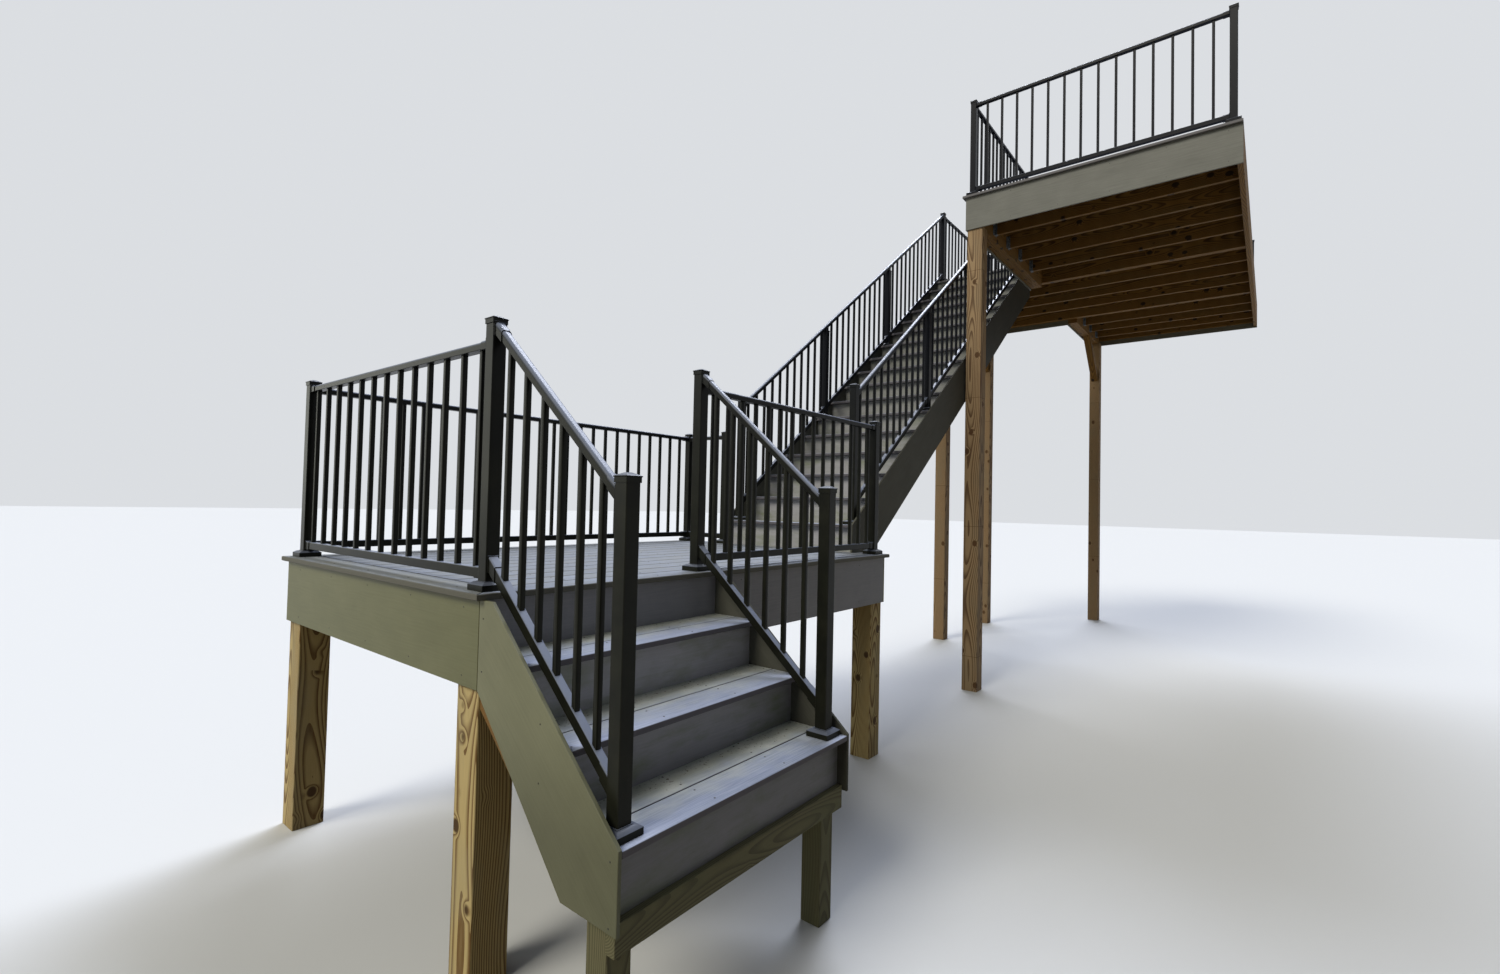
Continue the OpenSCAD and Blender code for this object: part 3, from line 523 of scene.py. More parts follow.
def composite_trim(name, light, mid, dark, high=("#696a66", "#7e7f7b"), reach=0.0, foot_shade=0.65,
                   gloss=0.25):
    """Composite trim board with a pressed wood grain: olive grey with faint long figure
    about 8 mm wide, in the two high tones above 3 m, which paint the light and shade
    of that height, darkened by painted shade to a given share at the foot of the short
    flight, and with a green bloom of algae in patches a hand wide where the reach is set."""
    material, tree, shader = finish(name, 0.5, IOR=1.46, Specular_IOR_Level=gloss)
    place = attribute(tree, "grain")["Vector"]
    level = parts_of(tree, object_place(tree))["Z"]
    bend = maths(tree, "MULTIPLY", noise(tree, place, (2.5, 9, 9), 2.0), 0.03)
    bend = add(tree, "CombineXYZ", {"Y": bend}).outputs[0]
    figure = noise(tree, vectors(tree, "ADD", place, bend)[0], (4, 150, 150), 4.0, 0.65)
    stain = noise(tree, place, (4, 6, 6), 5.0, 0.6)
    colour = mix(tree, 0.4, ramp(tree, stain, (0.3, 0.5, 0.7), (dark, mid, light)),
                 ramp(tree, figure, (0.35, 0.65), (dark, light)))
    algae = ranged(tree, noise(tree, place, (3, 9, 9), 5.0, 0.65), 0.47, 0.68, reach)
    colour = mix(tree, algae, colour, "#6f7a4e")
    # Painted light and shade: above 3 m the tones turn to the high pair, set for the sky's light on the
    # deck's fascias and the deep shade on the long flight's skirts.
    high_painted_light = mix(tree, 0.5, ramp(tree, stain, (0.3, 0.7), high), ramp(tree, figure, (0.35, 0.65), high))
    colour = mix(tree, ranged(tree, level, 1.9, 3.2), colour, high_painted_light)
    # Painted shade: darker below 1 m, down to the given share under 0.7 m.
    colour = mix(tree, 1.0, colour, ranged(tree, level, 0.7, 1.0, least=foot_shade), "MULTIPLY")
    coat(tree, shader, colour, figure, 0.35, 0.0010)
    return material


def treated_pine(name, early, late, knot, weather, pitch=0.007, straps=0.0, knotty=0.5):
    """Pressure treated pine, sawn: growth rings one pitch apart round a pith that wanders
    by 30 mm along the timber, pale and then dark with a sharp end, so that a face square
    to the pith shows long arches and the next one straight lines. Knots about 40 mm
    across, in the knotty share of the cells, push the rings aside by 12 mm, grey
    weathering lies in patches, and thin dark marks of packing straps cross it every
    1.2 m. The wave repeats every 0.314 m over its scale."""
    material, tree, shader = finish(name, 0.7, IOR=1.45, Specular_IOR_Level=0.25)
    place = attribute(tree, "grain")["Vector"]
    along = parts_of(tree, place)["X"]
    wander = add(tree, "TexNoise", {"Vector": stretched(tree, place, (1.2, 0.5, 0.5)),
                                    "Scale": 1.0, "Detail": 0.0}).outputs["Color"]
    centre = vectors(tree, "SUBTRACT", wander, (0.5, 0.5, 0.5))[0]
    off_pith = stretched(tree, centre, (0, 0.12, 0.12))
    spoke = vectors(tree, "ADD", stretched(tree, place, (0, 1, 1)), off_pith)[0]
    radius = vectors(tree, "LENGTH", spoke)["Value"]
    cells = add(tree, "TexVoronoi", {"Vector": stretched(tree, place, (7, 9, 9)), "Scale": 1.0},
                feature="F1").outputs
    number = add(tree, "SeparateColor", {0: cells["Color"]}).outputs[0]
    sound = maths(tree, "GREATER_THAN", number, knotty)
    spots = maths(tree, "ADD", cells["Distance"], sound)
    radius = maths(tree, "ADD", radius, ranged(tree, spots, 0.4, 0.08, 0.012, curve="SMOOTHERSTEP"))
    line = add(tree, "CombineXYZ", {"X": radius, "Y": maths(tree, "MULTIPLY", along, 0.05)})
    rings = add(tree, "TexWave", {"Vector": line.outputs[0], "Scale": 0.314 / pitch,
                                  "Distortion": 0.5, "Detail": 2.0, "Detail Scale": 1.0},
                wave_type="BANDS", bands_direction="X", wave_profile="SAW").outputs["Fac"]
    fibre = noise(tree, place, (10, 400, 400), 3.0, 0.6)
    grey = ranged(tree, noise(tree, place, (2.2, 7, 7), 4.0), 0.48, 0.75, 0.5)
    colour = ramp(tree, rings, (0.0, 0.4, 0.82, 0.96), (early, early, late, late))
    colour = mix(tree, 0.22, colour, ramp(tree, fibre, (0.3, 0.7), (late, early)))
    colour = mix(tree, grey, colour, weather)
    colour = mix(tree, ranged(tree, spots, 0.23, 0.17), colour, knot)
    strap = ranged(tree, maths(tree, "PINGPONG", along, 0.6), 0.003, 0.0015, straps)
    colour = mix(tree, strap, colour, knot)
    coat(tree, shader, colour, maths(tree, "ADD", rings, fibre), 0.25, 0.0010)
    return material


def black_coat(name, painted_sheen):
    """Powder coated aluminium tube: black with a warm tone low down and a bluer tone
    above 3 m, a fine orange peel about 2 mm across and a satin gloss that carries a
    pale line along each edge. The last argument is the share of a pale blue grey
    painted sky sheen on faces that look up."""
    material, tree, shader = finish(name, 0.3, IOR=1.5, Specular_IOR_Level=0.08)
    place = object_place(tree)
    colour = ramp(tree, noise(tree, place, (9, 9, 9), 4.0), (0.35, 0.75), ("#1a1b16", "#272820"))
    colour = mix(tree, ranged(tree, parts_of(tree, place)["Z"], 1.6, 3.0), colour, "#191b22")
    facing = parts_of(tree, add(tree, "NewGeometry").outputs["Normal"])["Z"]
    # Painted sheen: faces that look up turn pale blue grey, a painted reflection of the sky on the satin
    # coat.
    colour = mix(tree, ranged(tree, facing, 0.1, 0.6, painted_sheen), colour, "#8790a6")
    coat(tree, shader, colour, noise(tree, place, (480, 480, 480), 1.0), 0.03, 0.0004)
    return material


def galvanised(name, dark, light, roughness):
    """Hot dipped steel: bright and dull flakes of zinc about 8 mm across."""
    material, tree, shader = finish(name, roughness, Metallic=0.85)
    flakes = add(tree, "TexVoronoi", {"Vector": object_place(tree), "Scale": 120.0},
                 feature="F1").outputs["Color"]
    level = add(tree, "SeparateColor", {0: flakes}).outputs[0]
    tree.links.new(ramp(tree, level, (0.1, 0.9), (dark, light)), shader.inputs["Base Color"])
    return material


# Painted light: the three boards are one capped composite in tones set for the light each place has. The
# treads are paler and bluer for painted sky light, their dust is a pale tone that also offsets the shade
# under the risers, and the side tones are olive on the landing for painted grass light and grey mauve on the
# high deck.
greys, dirts = ("#6f7788", "#858ea0", "#9fa7b8"), ("#63665f", "#737570", "#838482")
board = composite_board("capped_composite_deck_board_brushed", greys, dirts, "#5b5a52", edge_dirt_and_shade=0.75)
high_board = composite_board("capped_composite_high_deck_board_brushed", greys, dirts, "#6e6d71", edge_dirt_and_shade=0.5)
tread = composite_board("capped_composite_tread_board_brushed", ("#778297", "#929bb1", "#aeb5cc"),
                        ("#92968b", "#a8aba2", "#bdc0ba"), "#5c5a60", lip=0.0088)
# Painted light: these are one composite trim in tones set for the light each place has. The fascia and the
# skirt are olive from a painted green light bounced off grass onto faces that look left, the shaded and
# riser tones are grey and mauve copies for faces in shade, and the high skirt is a darker copy with painted
# deep shade.
fascia = composite_trim("composite_fascia_pressed_grain", "#717253", "#6a6b4c", "#636446")
skirt = composite_trim("composite_skirt_pressed_grain", "#7e7f67", "#787961", "#70715a")
shade_darkened_skirt = composite_trim("composite_skirt_painted_deep_shade_pressed_grain", "#62625a", "#5b5b53", "#54544c",
                            ("#3e3e3a", "#4c4c48"), gloss=0.05)
shaded = composite_trim("composite_shaded_trim_pressed_grain", "#8f8f94", "#87878b", "#7d7d81")
riser = composite_trim("composite_riser_pressed_grain", "#abaab0", "#a1a1a7", "#959599", reach=0.6,
                       foot_shade=0.4, gloss=0.5)
post_pine = treated_pine("pressure_treated_pine_post_sawn", "#c8b482", "#654620", "#4a351c", "#a39c84",
                         pitch=0.0075)
tall_pine = treated_pine("pressure_treated_pine_tall_post_sawn", "#ab9170", "#5f4732", "#5a412a",
                         "#857b66", pitch=0.012, straps=0.7, knotty=0.4)
frame_pine = treated_pine("pressure_treated_pine_framing_sawn", "#8a6835", "#50361a", "#2f2010",
                          "#6b5a3c")
# Darker and greener pine for the kick board and the foot posts: partly weathering, partly painted shade
# under the first riser.
weathered_shaded_pine = treated_pine("treated_pine_weathered_green_painted_shade", "#6f6c52", "#4c4835", "#2c281c", "#5c5f45")
# The posts take a smaller share of the painted sky sheen on their caps, and the rails a larger share on
# their tops.
black = black_coat("black_powder_coated_aluminium", 0.45)
sheen_topped_black = black_coat("black_powder_coated_aluminium_rails_painted_sheen", 0.85)
zinc = galvanised("galvanised_sheet_steel_dipped", "#5b5e60", "#8a8e90", 0.5)
screw_steel = galvanised("coated_steel_screws_plated", "#35332f", "#4b4944", 0.5)

# Treads, deck boards, risers and trim.

def step_dust(box, co):
    """Dust from 0 at a tread's nosing to 1 at the riser behind it."""
    if box[0, 0, 2] < LANDING:
        axis, start, going = 1, LOW_Y0, GOING_LOW
    else:
        axis, start, going = 0, UP_X0, GOING_UP
    nosing = start + going * np.floor((box[:, 0, axis] - start + 1) / going)
    return np.clip((co[..., axis] - nosing[:, None, None]) / going, 0, 1) ** 1.5


low_treads, up_treads = timbers("lower_treads"), timbers("upper_treads_low", "upper_treads_high")
piece("tread_boards_short_flight", bars(low_treads, 3.5, dust=step_dust), tread,
      ["lower_treads"])
piece("tread_boards_long_flight", bars(up_treads, 3.5, dust=step_dust), tread,
      ["upper_treads_low", "upper_treads_high"])

# The border's boards meet in mitres with a hairline between them. Each board runs from
# one corner to the next.
mitre = 0.4
rim = np.array([(EDGE_X0, EDGE_Y0), (EDGE_X1, EDGE_Y0), (EDGE_X1, EDGE_Y1), (EDGE_X0, EDGE_Y1)])
inner = rim + BOARD_W * np.array([(1, 1), (-1, 1), (-1, -1), (1, -1)])
border = []
# Each border board's share of dust is partly dust and partly painted shade, most on the left and rear
# boards.
for a, b, dust in ((0, 1, 0.3), (2, 3, 0.5), (3, 0, 0.6), (1, 2, 0.3)):
    clear = mitre * np.sign(rim[b] - rim[a])
    outline = [rim[a] + clear, rim[b] - clear, inner[b] - clear, inner[a] + clear]
    border.append(cut_board(outline, 2, LANDING - BOARD, BOARD, a % 2 * math.pi / 2, 2.5, dust))
piece("landing_border_boards", border, board, ["landing_border"])
# The landing's boards take an even share of dust and painted shade.
piece("landing_boards",
      bars(timbers("landing_decking"), 3.0, dust=lambda box, co: np.full(co.shape[:3], 0.4)),
      board, ["landing_decking"])


def framed(boxes):
    """Boards that run along X, cut back at both ends for a border board across them."""
    low, high = boxes[:, 0].min(0), boxes[:, 1].max(0)
    cut = boxes.copy()
    cut[:, 0, 0] = np.maximum(cut[:, 0, 0], low[0] + BOARD_W + BOARD_GAP)
    cut[:, 1, 0] = np.minimum(cut[:, 1, 0], high[0] - BOARD_W - BOARD_GAP)
    ends = np.array([[low, (low[0] + BOARD_W, high[1], high[2])],
                     [(high[0] - BOARD_W, low[1], low[2]), high]])
    return cut, ends


deck_runs, deck_ends = [np.concatenate(both) for both in
                        zip(framed(timbers("deck_decking")), framed(timbers("bay_decking")))]
piece("deck_boards", bars(deck_runs, 3.0) + bars(deck_ends, 3.0, axis=1), high_board,
      ["deck_decking", "bay_decking"])
piece("riser_boards", bars(timbers("lower_risers", "upper_risers"), 1.0, 0.5), riser,
      ["lower_risers", "upper_risers"])


def fascia_boards(node, boxes=None, end="_board", material=fascia):
    """Fascia boards, with the slight edge that they are sold with, that fill the solids
    of a node or the boxes given for it."""
    boxes = timbers(node) if boxes is None else np.array(boxes)
    piece(node + end, bars(boxes, 1.8, 1.0), material, [node])


# A joint of 2.5 mm shows between the short flight's left skirt and the landing's board.
left_board = timbers("landing_fascia_left")
left_board[:, 0, 1] += 2.5
fascia_boards("landing_fascia_left", left_board)
fascia_boards("landing_fascia_front", material=shaded)
for part in ("landing_fascia_rear", "landing_fascia_right", "deck_fascia_front", "deck_fascia_stair"):
    fascia_boards(part)
FRAME_LOW, FRAME_UP = LANDING - BOARD, DECK - BOARD
bay0 = UP_END + OVERHANG
z0, z1 = FRAME_UP - FASCIA, FRAME_UP
fascia_boards("deck_fascia_bay", [
    [(bay0, DECK_Y1, z0), (bay0 + TRIM, UP_Y1 + TRIM, z1)],
    [(bay0, UP_Y1, z0), (BAY_X1, UP_Y1 + TRIM, z1)],
    [(BAY_X1 - TRIM, DECK_Y1 - TRIM, z0), (BAY_X1, UP_Y1 + TRIM, z1)]], "_boards")
fascia_boards("deck_fascia_rear", [
    [(BAY_X1, DECK_Y1 - TRIM, z0), (DECK_X1, DECK_Y1, z1)],
    [(DECK_X1 - TRIM, DECK_WALL, z0), (DECK_X1, DECK_Y1, z1)]], "_boards")

# Skirts and stringers, cut to their outlines.
low_tilt, up_tilt = math.atan2(RISE_LOW, GOING_LOW), math.atan2(RISE_UP, GOING_UP)
# How far the short flight's skirt goes below the foot and over the first nosing, and the
# lengths of its level head and of its toe.
BELOW_FOOT, OVER_NOSING, SKIRT_HEAD, SKIRT_TOE = 20, 4, 76, 245
low_outline = [(LOW_Y0, FOOT - BELOW_FOOT), (LOW_Y0, FOOT + RISE_LOW + OVER_NOSING),
               (FACE - SKIRT_HEAD, FRAME_LOW), (FACE, FRAME_LOW), (FACE, FRAME_LOW - FASCIA),
               (LOW_Y0 + SKIRT_TOE, FOOT - BELOW_FOOT)]
# The short flight's right skirt takes the high skirt's darker tones, a painted shade.
for name, x, material in (("lower_skirt_left", LOW_X0 - TRIM, skirt),
                             ("lower_skirt_right", LOW_X1, shade_darkened_skirt)):
    piece(name + "_board", [cut_board(low_outline, 0, x, TRIM, low_tilt)], material,
          [name])
# The long flight's boards and stringers start just clear of the landing's boards, and its
# skirt's lower edge is this far below the line of the nosings.
edge = EDGE_X1 + 2
SKIRT_DROP = 425


def up_line(x):
    """Height of the line of the long flight's nosings."""
    return LANDING + RISE_UP + (x - UP_X0) * RISE_UP / GOING_UP


up_outline = [(UP_X0, LANDING), (UP_X0, LANDING + RISE_UP),
              (UP_X0 + (FRAME_UP - LANDING - RISE_UP) * GOING_UP / RISE_UP, FRAME_UP), (bay0, FRAME_UP),
              (bay0, up_line(bay0) - SKIRT_DROP), (edge, up_line(edge) - SKIRT_DROP), (edge, LANDING)]
# The long flight's skirts take the high skirt's darker tones, a painted deep shade under the deck.
for name, y in (("upper_skirt_left", UP_Y1), ("upper_skirt_right", UP_Y0 - TRIM)):
    piece(name + "_board", [cut_board(up_outline, 1, y, TRIM, up_tilt)], shade_darkened_skirt,
          [name])


# A tread's overhang, the gap between skirts and outer stringers, and the short flight's
# stringers' length on the floor.
NOSING, STRINGER_IN, STRINGER_TOE = 45.0, 6, 210


def notches(x0, z0, going, rise, count):
    """Two corners for each tread: the foot and the head of its riser's back."""
    k = np.arange(count)
    x = x0 + k * going + NOSING + TRIM
    low = z0 + k * rise - np.where(k == 0, 0, BOARD)
    return np.stack([x, low, x, z0 + (k + 1) * rise - BOARD], 1).reshape(-1, 2)


def stringer_places(start, stop):
    """Near faces of four stringers, set evenly between the two skirt boards."""
    return start + STRINGER_IN + np.arange(4) * (stop - start - 2 * STRINGER_IN - JOIST) / 3


low_head = FOOT + 3 * RISE_LOW - BOARD
low_saw = np.concatenate([notches(LOW_Y0, FOOT, GOING_LOW, RISE_LOW, 3), [
    (FACE + TRIM, low_head), (FACE + TRIM, low_head - THROAT / math.cos(low_tilt)),
    (LOW_Y0 + NOSING + TRIM + STRINGER_TOE, FOOT)]])
drop = BOARD + RISE_UP + THROAT / math.cos(up_tilt)
up_saw = np.concatenate([notches(UP_X0, LANDING, GOING_UP, RISE_UP, 16), [
    (bay0, FRAME_UP - RISE_UP), (bay0, up_line(bay0) - drop), (edge, up_line(edge) - drop),
    (edge, LANDING)]])
low_cuts, up_cuts = stringer_places(LOW_X0, LOW_X1), stringer_places(UP_Y0, UP_Y1)
piece("stringers_short_flight", [cut_board(low_saw, 0, x, JOIST, low_tilt, 1.0) for x in low_cuts],
      frame_pine, ["lower_stringers"])
piece("stringers_long_flight", [cut_board(up_saw, 1, y, JOIST, up_tilt, 1.0) for y in up_cuts],
      frame_pine, ["upper_stringers"])

# Posts and framing. The numbers after a post are its pith, as bars takes it.
POSTS = {"landing_post_front_left": (85, 8), "landing_post_front_right": (-20, 60),
         "landing_post_rear_left": (4, 50), "landing_post_rear_right": (50, 50),
         "deck_post_front": (-5, 25), "deck_post_stair": (-60, 90), "deck_post_bay": (-40, 120),
         "deck_post_rear": (-65, 100)}
for part, pith in POSTS.items():
    piece(part + "_timber", bars(timbers(part), 5.0, 2.0, 3, axis=2, pith=pith),
          tall_pine if part.startswith("deck") else post_pine, [part])
piece("foot_posts_timber", bars(timbers("foot_posts"), 4.0, 2.0, 3, axis=2, pith=(10, 60)), weathered_shaded_pine,
      ["foot_posts"])
for part in ("kick_board", "landing_frame", "deck_beams", "deck_ledger", "deck_joists", "bay_joists"):
    piece(part + "_timber", bars(timbers(part), 3.0, 1.0, pith=(0, 60)),
          weathered_shaded_pine if part == "kick_board" else frame_pine, [part])
beam_z, brace_low = FRAME_UP - BEAM, BRACE - BRACE_DEPTH
brace_posts = ((DECK_X1 - TRIM - POST, DECK_Y1 - TRIM - POST / 2), (BAY_X1 - TRIM - POST, UP_Y1 - POST / 2))
piece("knee_braces_timber", [
    cut_board([(x, beam_z - BRACE), (x, beam_z - brace_low), (x - brace_low, beam_z), (x - BRACE, beam_z)],
              1, y - BRACE_T / 2, BRACE_T, -math.pi / 4, 2.0) for x, y in brace_posts],
      frame_pine, ["knee_braces"])
hanger_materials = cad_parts["joist_hangers"].data.materials
hanger_materials.clear()
hanger_materials.append(zinc)

# Railings. Middles of the metal posts of the short flight, the landing, the long flight
# and the deck, and the posts' heights.
RAIL_X, RAIL_X_RIGHT, RAIL_Y, FAR_X, FAR_Y = -19.0, 1043.0, -19.0, 2797.0, 1743.0
UP_FRONT, UP_REAR, FOOT_Y, SIDE_Y = 175.0, 1215.0, -740.0, 1331.0
UP_POSTS = np.array([2852.0, 4102.0, 5387.0, 6907.0])
NEAR_X, FRONT_Y, END_X, BAY_X, WALL_Y, STAIR_X = 4805.0, 52.0, 10223.0, 8673.0, -1930.0, 6787.0
PLAIN, TALL = 914.0, 963.0
# A post's top stands this far over the top of a sloped rail.
CAP_OVER = 64.0
# Gaps between the nosings and the bottom rails of the short and the long flight.
GAP_LOW, GAP_UP = 14.0, 35.0
half = NEWEL / 2
slope = RISE_UP / GOING_UP


def low_line(y):
    """Height of the line of the short flight's nosings."""
    return FOOT + RISE_LOW + (y - LOW_Y0) * RISE_LOW / GOING_LOW


def metalwork(name, lofts, nodes, material=black):
    """A piece of the railing, shaded smooth where faces meet at under 35 degrees."""
    piece(name, lofts, material, nodes, smooth=35)


low_height = (FOOT_Y - LOW_Y0) * RISE_LOW / GOING_LOW + RAIL_H_LOW + CAP_OVER
first_height = (UP_POSTS[0] - UP_X0) * RISE_UP / GOING_UP + RAIL_H_UP + CAP_OVER
metalwork("railing_posts_stair_foot",
          [metal_posts([RAIL_X, RAIL_X_RIGHT], FOOT_Y, FOOT + RISE_LOW, low_height)], ["stair_newels"])
metalwork("railing_posts_landing", [metal_posts(
    [RAIL_X, RAIL_X_RIGHT, RAIL_X, FAR_X, FAR_X, FAR_X], [RAIL_Y, RAIL_Y, FAR_Y, FAR_Y, RAIL_Y, SIDE_Y],
    LANDING, [TALL, TALL] + [PLAIN] * 4)], ["landing_newels"])

# The two middle posts on each side stand on the sixth and eleventh treads of the long
# flight. They end under its rail in a plate that stands out by 3 mm, and a saddle cut
# to the slope fills what is left up to a hairline under the rail.
MIDDLE, UNDER = UP_POSTS[1:3], np.array([6, 11])
PLATE_OUT, HAIRLINE, SADDLE_W, SADDLE_LAP = 3.0, 0.3, 30.0, 6.0
seat = up_line(MIDDLE) + RAIL_H_UP - RAIL_D / math.cos(up_tilt)
tread_tops = LANDING + UNDER * RISE_UP
plates = seat - (half + PLATE_OUT) * slope - HAIRLINE
for name, y in (("left", UP_REAR), ("right", UP_FRONT)):
    saddles = [cut_board([(x - half, low - SADDLE_LAP), (x + half, low - SADDLE_LAP),
                          (x + half, high + half * slope - HAIRLINE),
                          (x - half, high - half * slope - HAIRLINE)], 1, y - SADDLE_W / 2, SADDLE_W, 0, 1.0)
               for x, low, high in zip(MIDDLE, plates, seat)]
    end_posts = metal_posts(UP_POSTS[[0, 3]], y, [LANDING + RISE_UP, DECK], [first_height, PLAIN])
    middle_posts = metal_posts(MIDDLE, y, tread_tops, plates - tread_tops, PLATE)
    metalwork("railing_posts_long_flight_" + name, [end_posts, middle_posts] + saddles,
              ["upper_newels_" + name])
metalwork("railing_posts_deck", [metal_posts(
    [STAIR_X, NEAR_X, NEAR_X, BAY_X, BAY_X, END_X, END_X],
    [FRONT_Y, FRONT_Y, WALL_Y, UP_REAR, FRONT_Y, FRONT_Y, WALL_Y], DECK, PLAIN)], ["deck_newels"])

low_foot, up_foot = GAP_LOW + LOW_D / math.cos(low_tilt), GAP_UP + LOW_D / math.cos(up_tilt)
y0, y1 = FOOT_Y + half, RAIL_Y - half
for name, x in (("left", RAIL_X), ("right", RAIL_X_RIGHT)):
    metalwork("railing_short_flight_" + name,
              rail_panel((x, y0, low_line(y0)), (x, y1, low_line(y1)), RAIL_H_LOW, low_foot),
              ["lower_rail_" + name], sheen_topped_black)
x0, x1 = UP_POSTS[:-1] + half, UP_POSTS[1:] - half
for name, y in (("left", UP_REAR), ("right", UP_FRONT)):
    ends = [(x, y, up_line(x) + RAIL_H_UP) for x in (x0[0], x1[-1])]
    lofts = rail_with_sleeves(*ends, RAIL_W, RAIL_D, RAIL_ROUND, True)
    for a, b in zip(x0, x1):
        lofts += infill((a, y, up_line(a)), (b, y, up_line(b)), RAIL_H_UP, up_foot)
    metalwork("railing_long_flight_" + name, lofts, ["upper_rail_" + name], sheen_topped_black)
LEVEL = {
    "landing_rail_left": [(RAIL_X, RAIL_Y, RAIL_X, FAR_Y)],
    "landing_rail_rear": [(RAIL_X, FAR_Y, FAR_X, FAR_Y)],
    "landing_rail_front": [(RAIL_X_RIGHT, RAIL_Y, FAR_X, RAIL_Y)],
    "landing_rail_right": [(FAR_X, SIDE_Y, FAR_X, FAR_Y)],
    "deck_rail_front": [(NEAR_X, WALL_Y, NEAR_X, FRONT_Y)],
    "deck_rail_stair": [(NEAR_X, FRONT_Y, STAIR_X, FRONT_Y)],
    "deck_rail_bay": [(UP_POSTS[3], UP_REAR, BAY_X, UP_REAR), (BAY_X, FRONT_Y, BAY_X, UP_REAR)],
    "deck_rail_rear": [(BAY_X, FRONT_Y, END_X, FRONT_Y), (END_X, WALL_Y, END_X, FRONT_Y)]}
for node, runs in LEVEL.items():
    z = DECK if node.startswith("deck") else LANDING
    lofts = []
    for xa, ya, xb, yb in runs:
        way = np.array([np.sign(xb - xa), np.sign(yb - ya), 0.0]) * half
        lofts += rail_panel((xa, ya, z) + way, (xb, yb, z) - way, RAIL_H, GAP + LOW_D)
    metalwork("panel_" + node, lofts, [node], sheen_topped_black)

# Screws: their spacing in border boards across and along the joists and in fascia boards,
# their distance from a board's edge and from the landing's edge, their radius in boards
# and in trim, and their two rows in a fascia, measured from its top.
JOIST_STEP, BORDER_STEP, FASCIA_STEP, SCREW_IN, EDGE_IN = 406.0, 380.0, 400.0, 35, 50
BOARD_SCREW, TRIM_SCREW = 3.6, 3.0
ROWS = np.array([-SCREW_IN, SCREW_IN - FASCIA])


def board_screws(boxes, lines, along):
    """Two screws where each board crosses each line, a fifth of its width from its two
    edges, unless the line is within 10 mm of the board's end."""
    low, high = boxes[:, 0], boxes[:, 1]
    points = []
    for line in lines:
        inside = (line > low[:, along] + 10) & (line < high[:, along] - 10)
        for share in (0.2, 0.8):
            at = low + share * (high - low)
            at[:, along] = line
            at[:, 2] = high[:, 2]
            points.append(at[inside])
    return np.concatenate(points)


joist_low = timbers("landing_frame")
joist_low = joist_low[(joist_low[:, 1] - joist_low[:, 0])[:, 1] > 1000].mean(1)[:, 0]
joist_up = timbers("deck_joists", "bay_joists").mean(1)[:, 0]
tops = [board_screws(low_treads, low_cuts + JOIST / 2, 0), board_screws(up_treads, up_cuts + JOIST / 2, 1),
        board_screws(timbers("landing_decking"), joist_low, 0), board_screws(deck_runs, joist_up, 0)]
tops += [grid((low[0] + SCREW_IN, high[0] - SCREW_IN), np.arange(low[1] + 60, high[1] - 40, BORDER_STEP),
              high[2]) for low, high in deck_ends]
tops += [grid(np.arange(-60, 2850, JOIST_STEP), (EDGE_Y0 + EDGE_IN, EDGE_Y1 - EDGE_IN), LANDING),
         grid((EDGE_X0 + EDGE_IN, EDGE_X1 - EDGE_IN), np.arange(120, 1700, BORDER_STEP), LANDING)]
skirt_y = np.repeat([-110.0, -450.0, -785.0], 2)
skirt_z = np.minimum(low_line(skirt_y), FRAME_LOW) - [60, 235] * 3
faces_left = [grid(FACE, np.arange(20, 1780, FASCIA_STEP), FRAME_LOW + ROWS),
              grid(DECK_X0, np.arange(-1900, 100, FASCIA_STEP), FRAME_UP + ROWS),
              np.stack([np.full(6, LOW_X0 - TRIM), skirt_y, skirt_z], 1)]
face_front = grid(np.arange(1300, 2800, FASCIA_STEP), FACE, FRAME_LOW + ROWS)
piece("board_screws", [screw_heads(np.concatenate(tops), 3, BOARD_SCREW),
                       screw_heads(np.concatenate(faces_left), -1, TRIM_SCREW),
                       screw_heads(face_front, -2, TRIM_SCREW)], screw_steel)

# Camera, light and floor. The place is in metres, the angles are in radians, the focal
# length and the frame's width in pixels and the sensor's width in millimetres.
CAM_PLACE = (-1.2466, -2.1625, 1.6728)
CAM_YAW, CAM_PITCH, CAM_ROLL = 0.8965, 0.027, 0.0225
FOCAL, FRAME_WIDTH, SENSOR = 654.4, 1500, 36


def place_camera():
    """Forward is turned by yaw from +Y towards +X and tipped up by pitch; right is
    level, and right and up are then turned together by roll round forward."""
    cy, sy = math.cos(CAM_YAW), math.sin(CAM_YAW)
    cp, sp = math.cos(CAM_PITCH), math.sin(CAM_PITCH)
    forward = np.array([sy * cp, cy * cp, sp])
    level = np.array([cy, -sy, 0.0])
    above = np.cross(level, forward)
    matrix = np.eye(4)
    matrix[:3, 0] = level * math.cos(CAM_ROLL) + above * math.sin(CAM_ROLL)
    matrix[:3, 1] = above * math.cos(CAM_ROLL) - level * math.sin(CAM_ROLL)
    matrix[:3, 2] = -forward
    matrix[:3, 3] = CAM_PLACE
    data = bpy.data.cameras.new("view")
    data.sensor_fit = "HORIZONTAL"
    data.sensor_width = SENSOR
    data.lens = SENSOR * FOCAL / FRAME_WIDTH
    data.clip_end = 200
    bpy.context.scene.camera = placed("view", data, matrix)


place_camera()


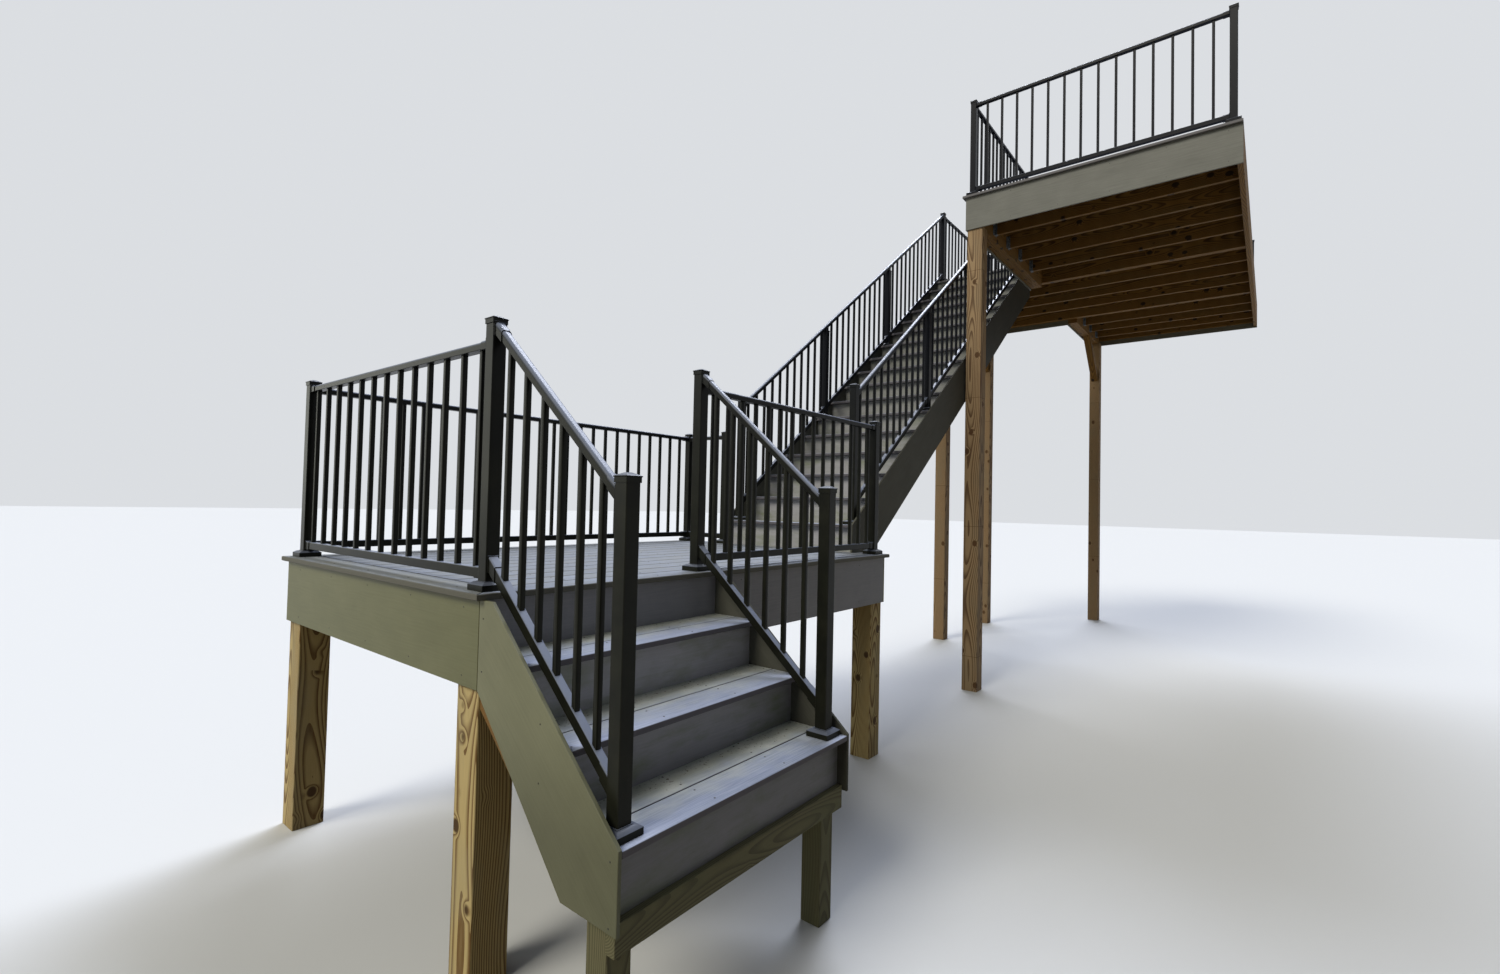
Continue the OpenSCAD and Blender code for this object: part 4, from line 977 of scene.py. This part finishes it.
def seen_ray(tree):
    """1 for camera, glossy and transmission rays, 0 for the rays that carry light."""
    rays = add(tree, "LightPath").outputs
    seen = maths(tree, "MAXIMUM", rays["Is Camera Ray"], rays["Is Glossy Ray"])
    return maths(tree, "MAXIMUM", seen, rays["Is Transmission Ray"])


world = bpy.data.worlds.new("studio")
world.use_nodes = True
sky = world.node_tree
backgrounds = [add(sky, "Background", {"Color": linear(colour), "Strength": strength}).outputs[0]
               for colour, strength in (("#e6edfb", 0.18), ("#e8ebef", 0.88))]
both = add(sky, "MixShader", {0: seen_ray(sky), 1: backgrounds[0], 2: backgrounds[1]})
sky.links.new(both.outputs[0], sky.nodes["World Output"].inputs["Surface"])
bpy.context.scene.world = world


def distant_lamp(name, toward, energy, angle, colour):
    """A lamp far away in the given direction, as wide as the angle: its Z axis points
    at the light, X is square to it and level, and Y completes the three."""
    data = bpy.data.lights.new(name, "SUN")
    data.energy = energy
    data.angle = angle
    data.color = linear(colour)[:3]
    toward = np.array(toward) / np.linalg.norm(toward)
    side = np.cross([0, 0, 1], toward)
    side /= np.linalg.norm(side)
    turn = np.eye(4)
    turn[:3, :3] = np.stack([side, np.cross(toward, side), toward], 1)
    placed(name, data, turn)


distant_lamp("key_warm", (-0.72, 0.10, 0.68), 2.1, 0.5, "#fff9e8")
distant_lamp("softbox_above", (0.57, 0.22, 0.79), 2.2, 0.44, "#eaf0ff")
distant_lamp("softbox_right", (0.84, 0.18, 0.51), 0.5, 0.4, "#f0f4ff")
distant_lamp("softbox_behind", (0.42, 0.55, 0.71), 0.6, 0.4, "#f4f6ff")
distant_lamp("low_softbox_behind", (-0.52, 0.84, 0.14), 0.65, 0.65, "#f2f3e0")

floor_material, tree, shader = finish("floor_matt", 0.9, Specular_IOR_Level=0.0)
tree.links.new(mix(tree, seen_ray(tree), "#746b54", "#d6d8da"), shader.inputs["Base Color"])
near, far = -60, 90
floor_mesh = bpy.data.meshes.new("floor")
floor_mesh.from_pydata([(near, near, 0), (far, near, 0), (far, far, 0), (near, far, 0)], [], [(0, 1, 2, 3)])
floor_mesh.materials.append(floor_material)
floor = placed("floor", floor_mesh)
bpy.context.scene.view_settings.view_transform = "Standard"
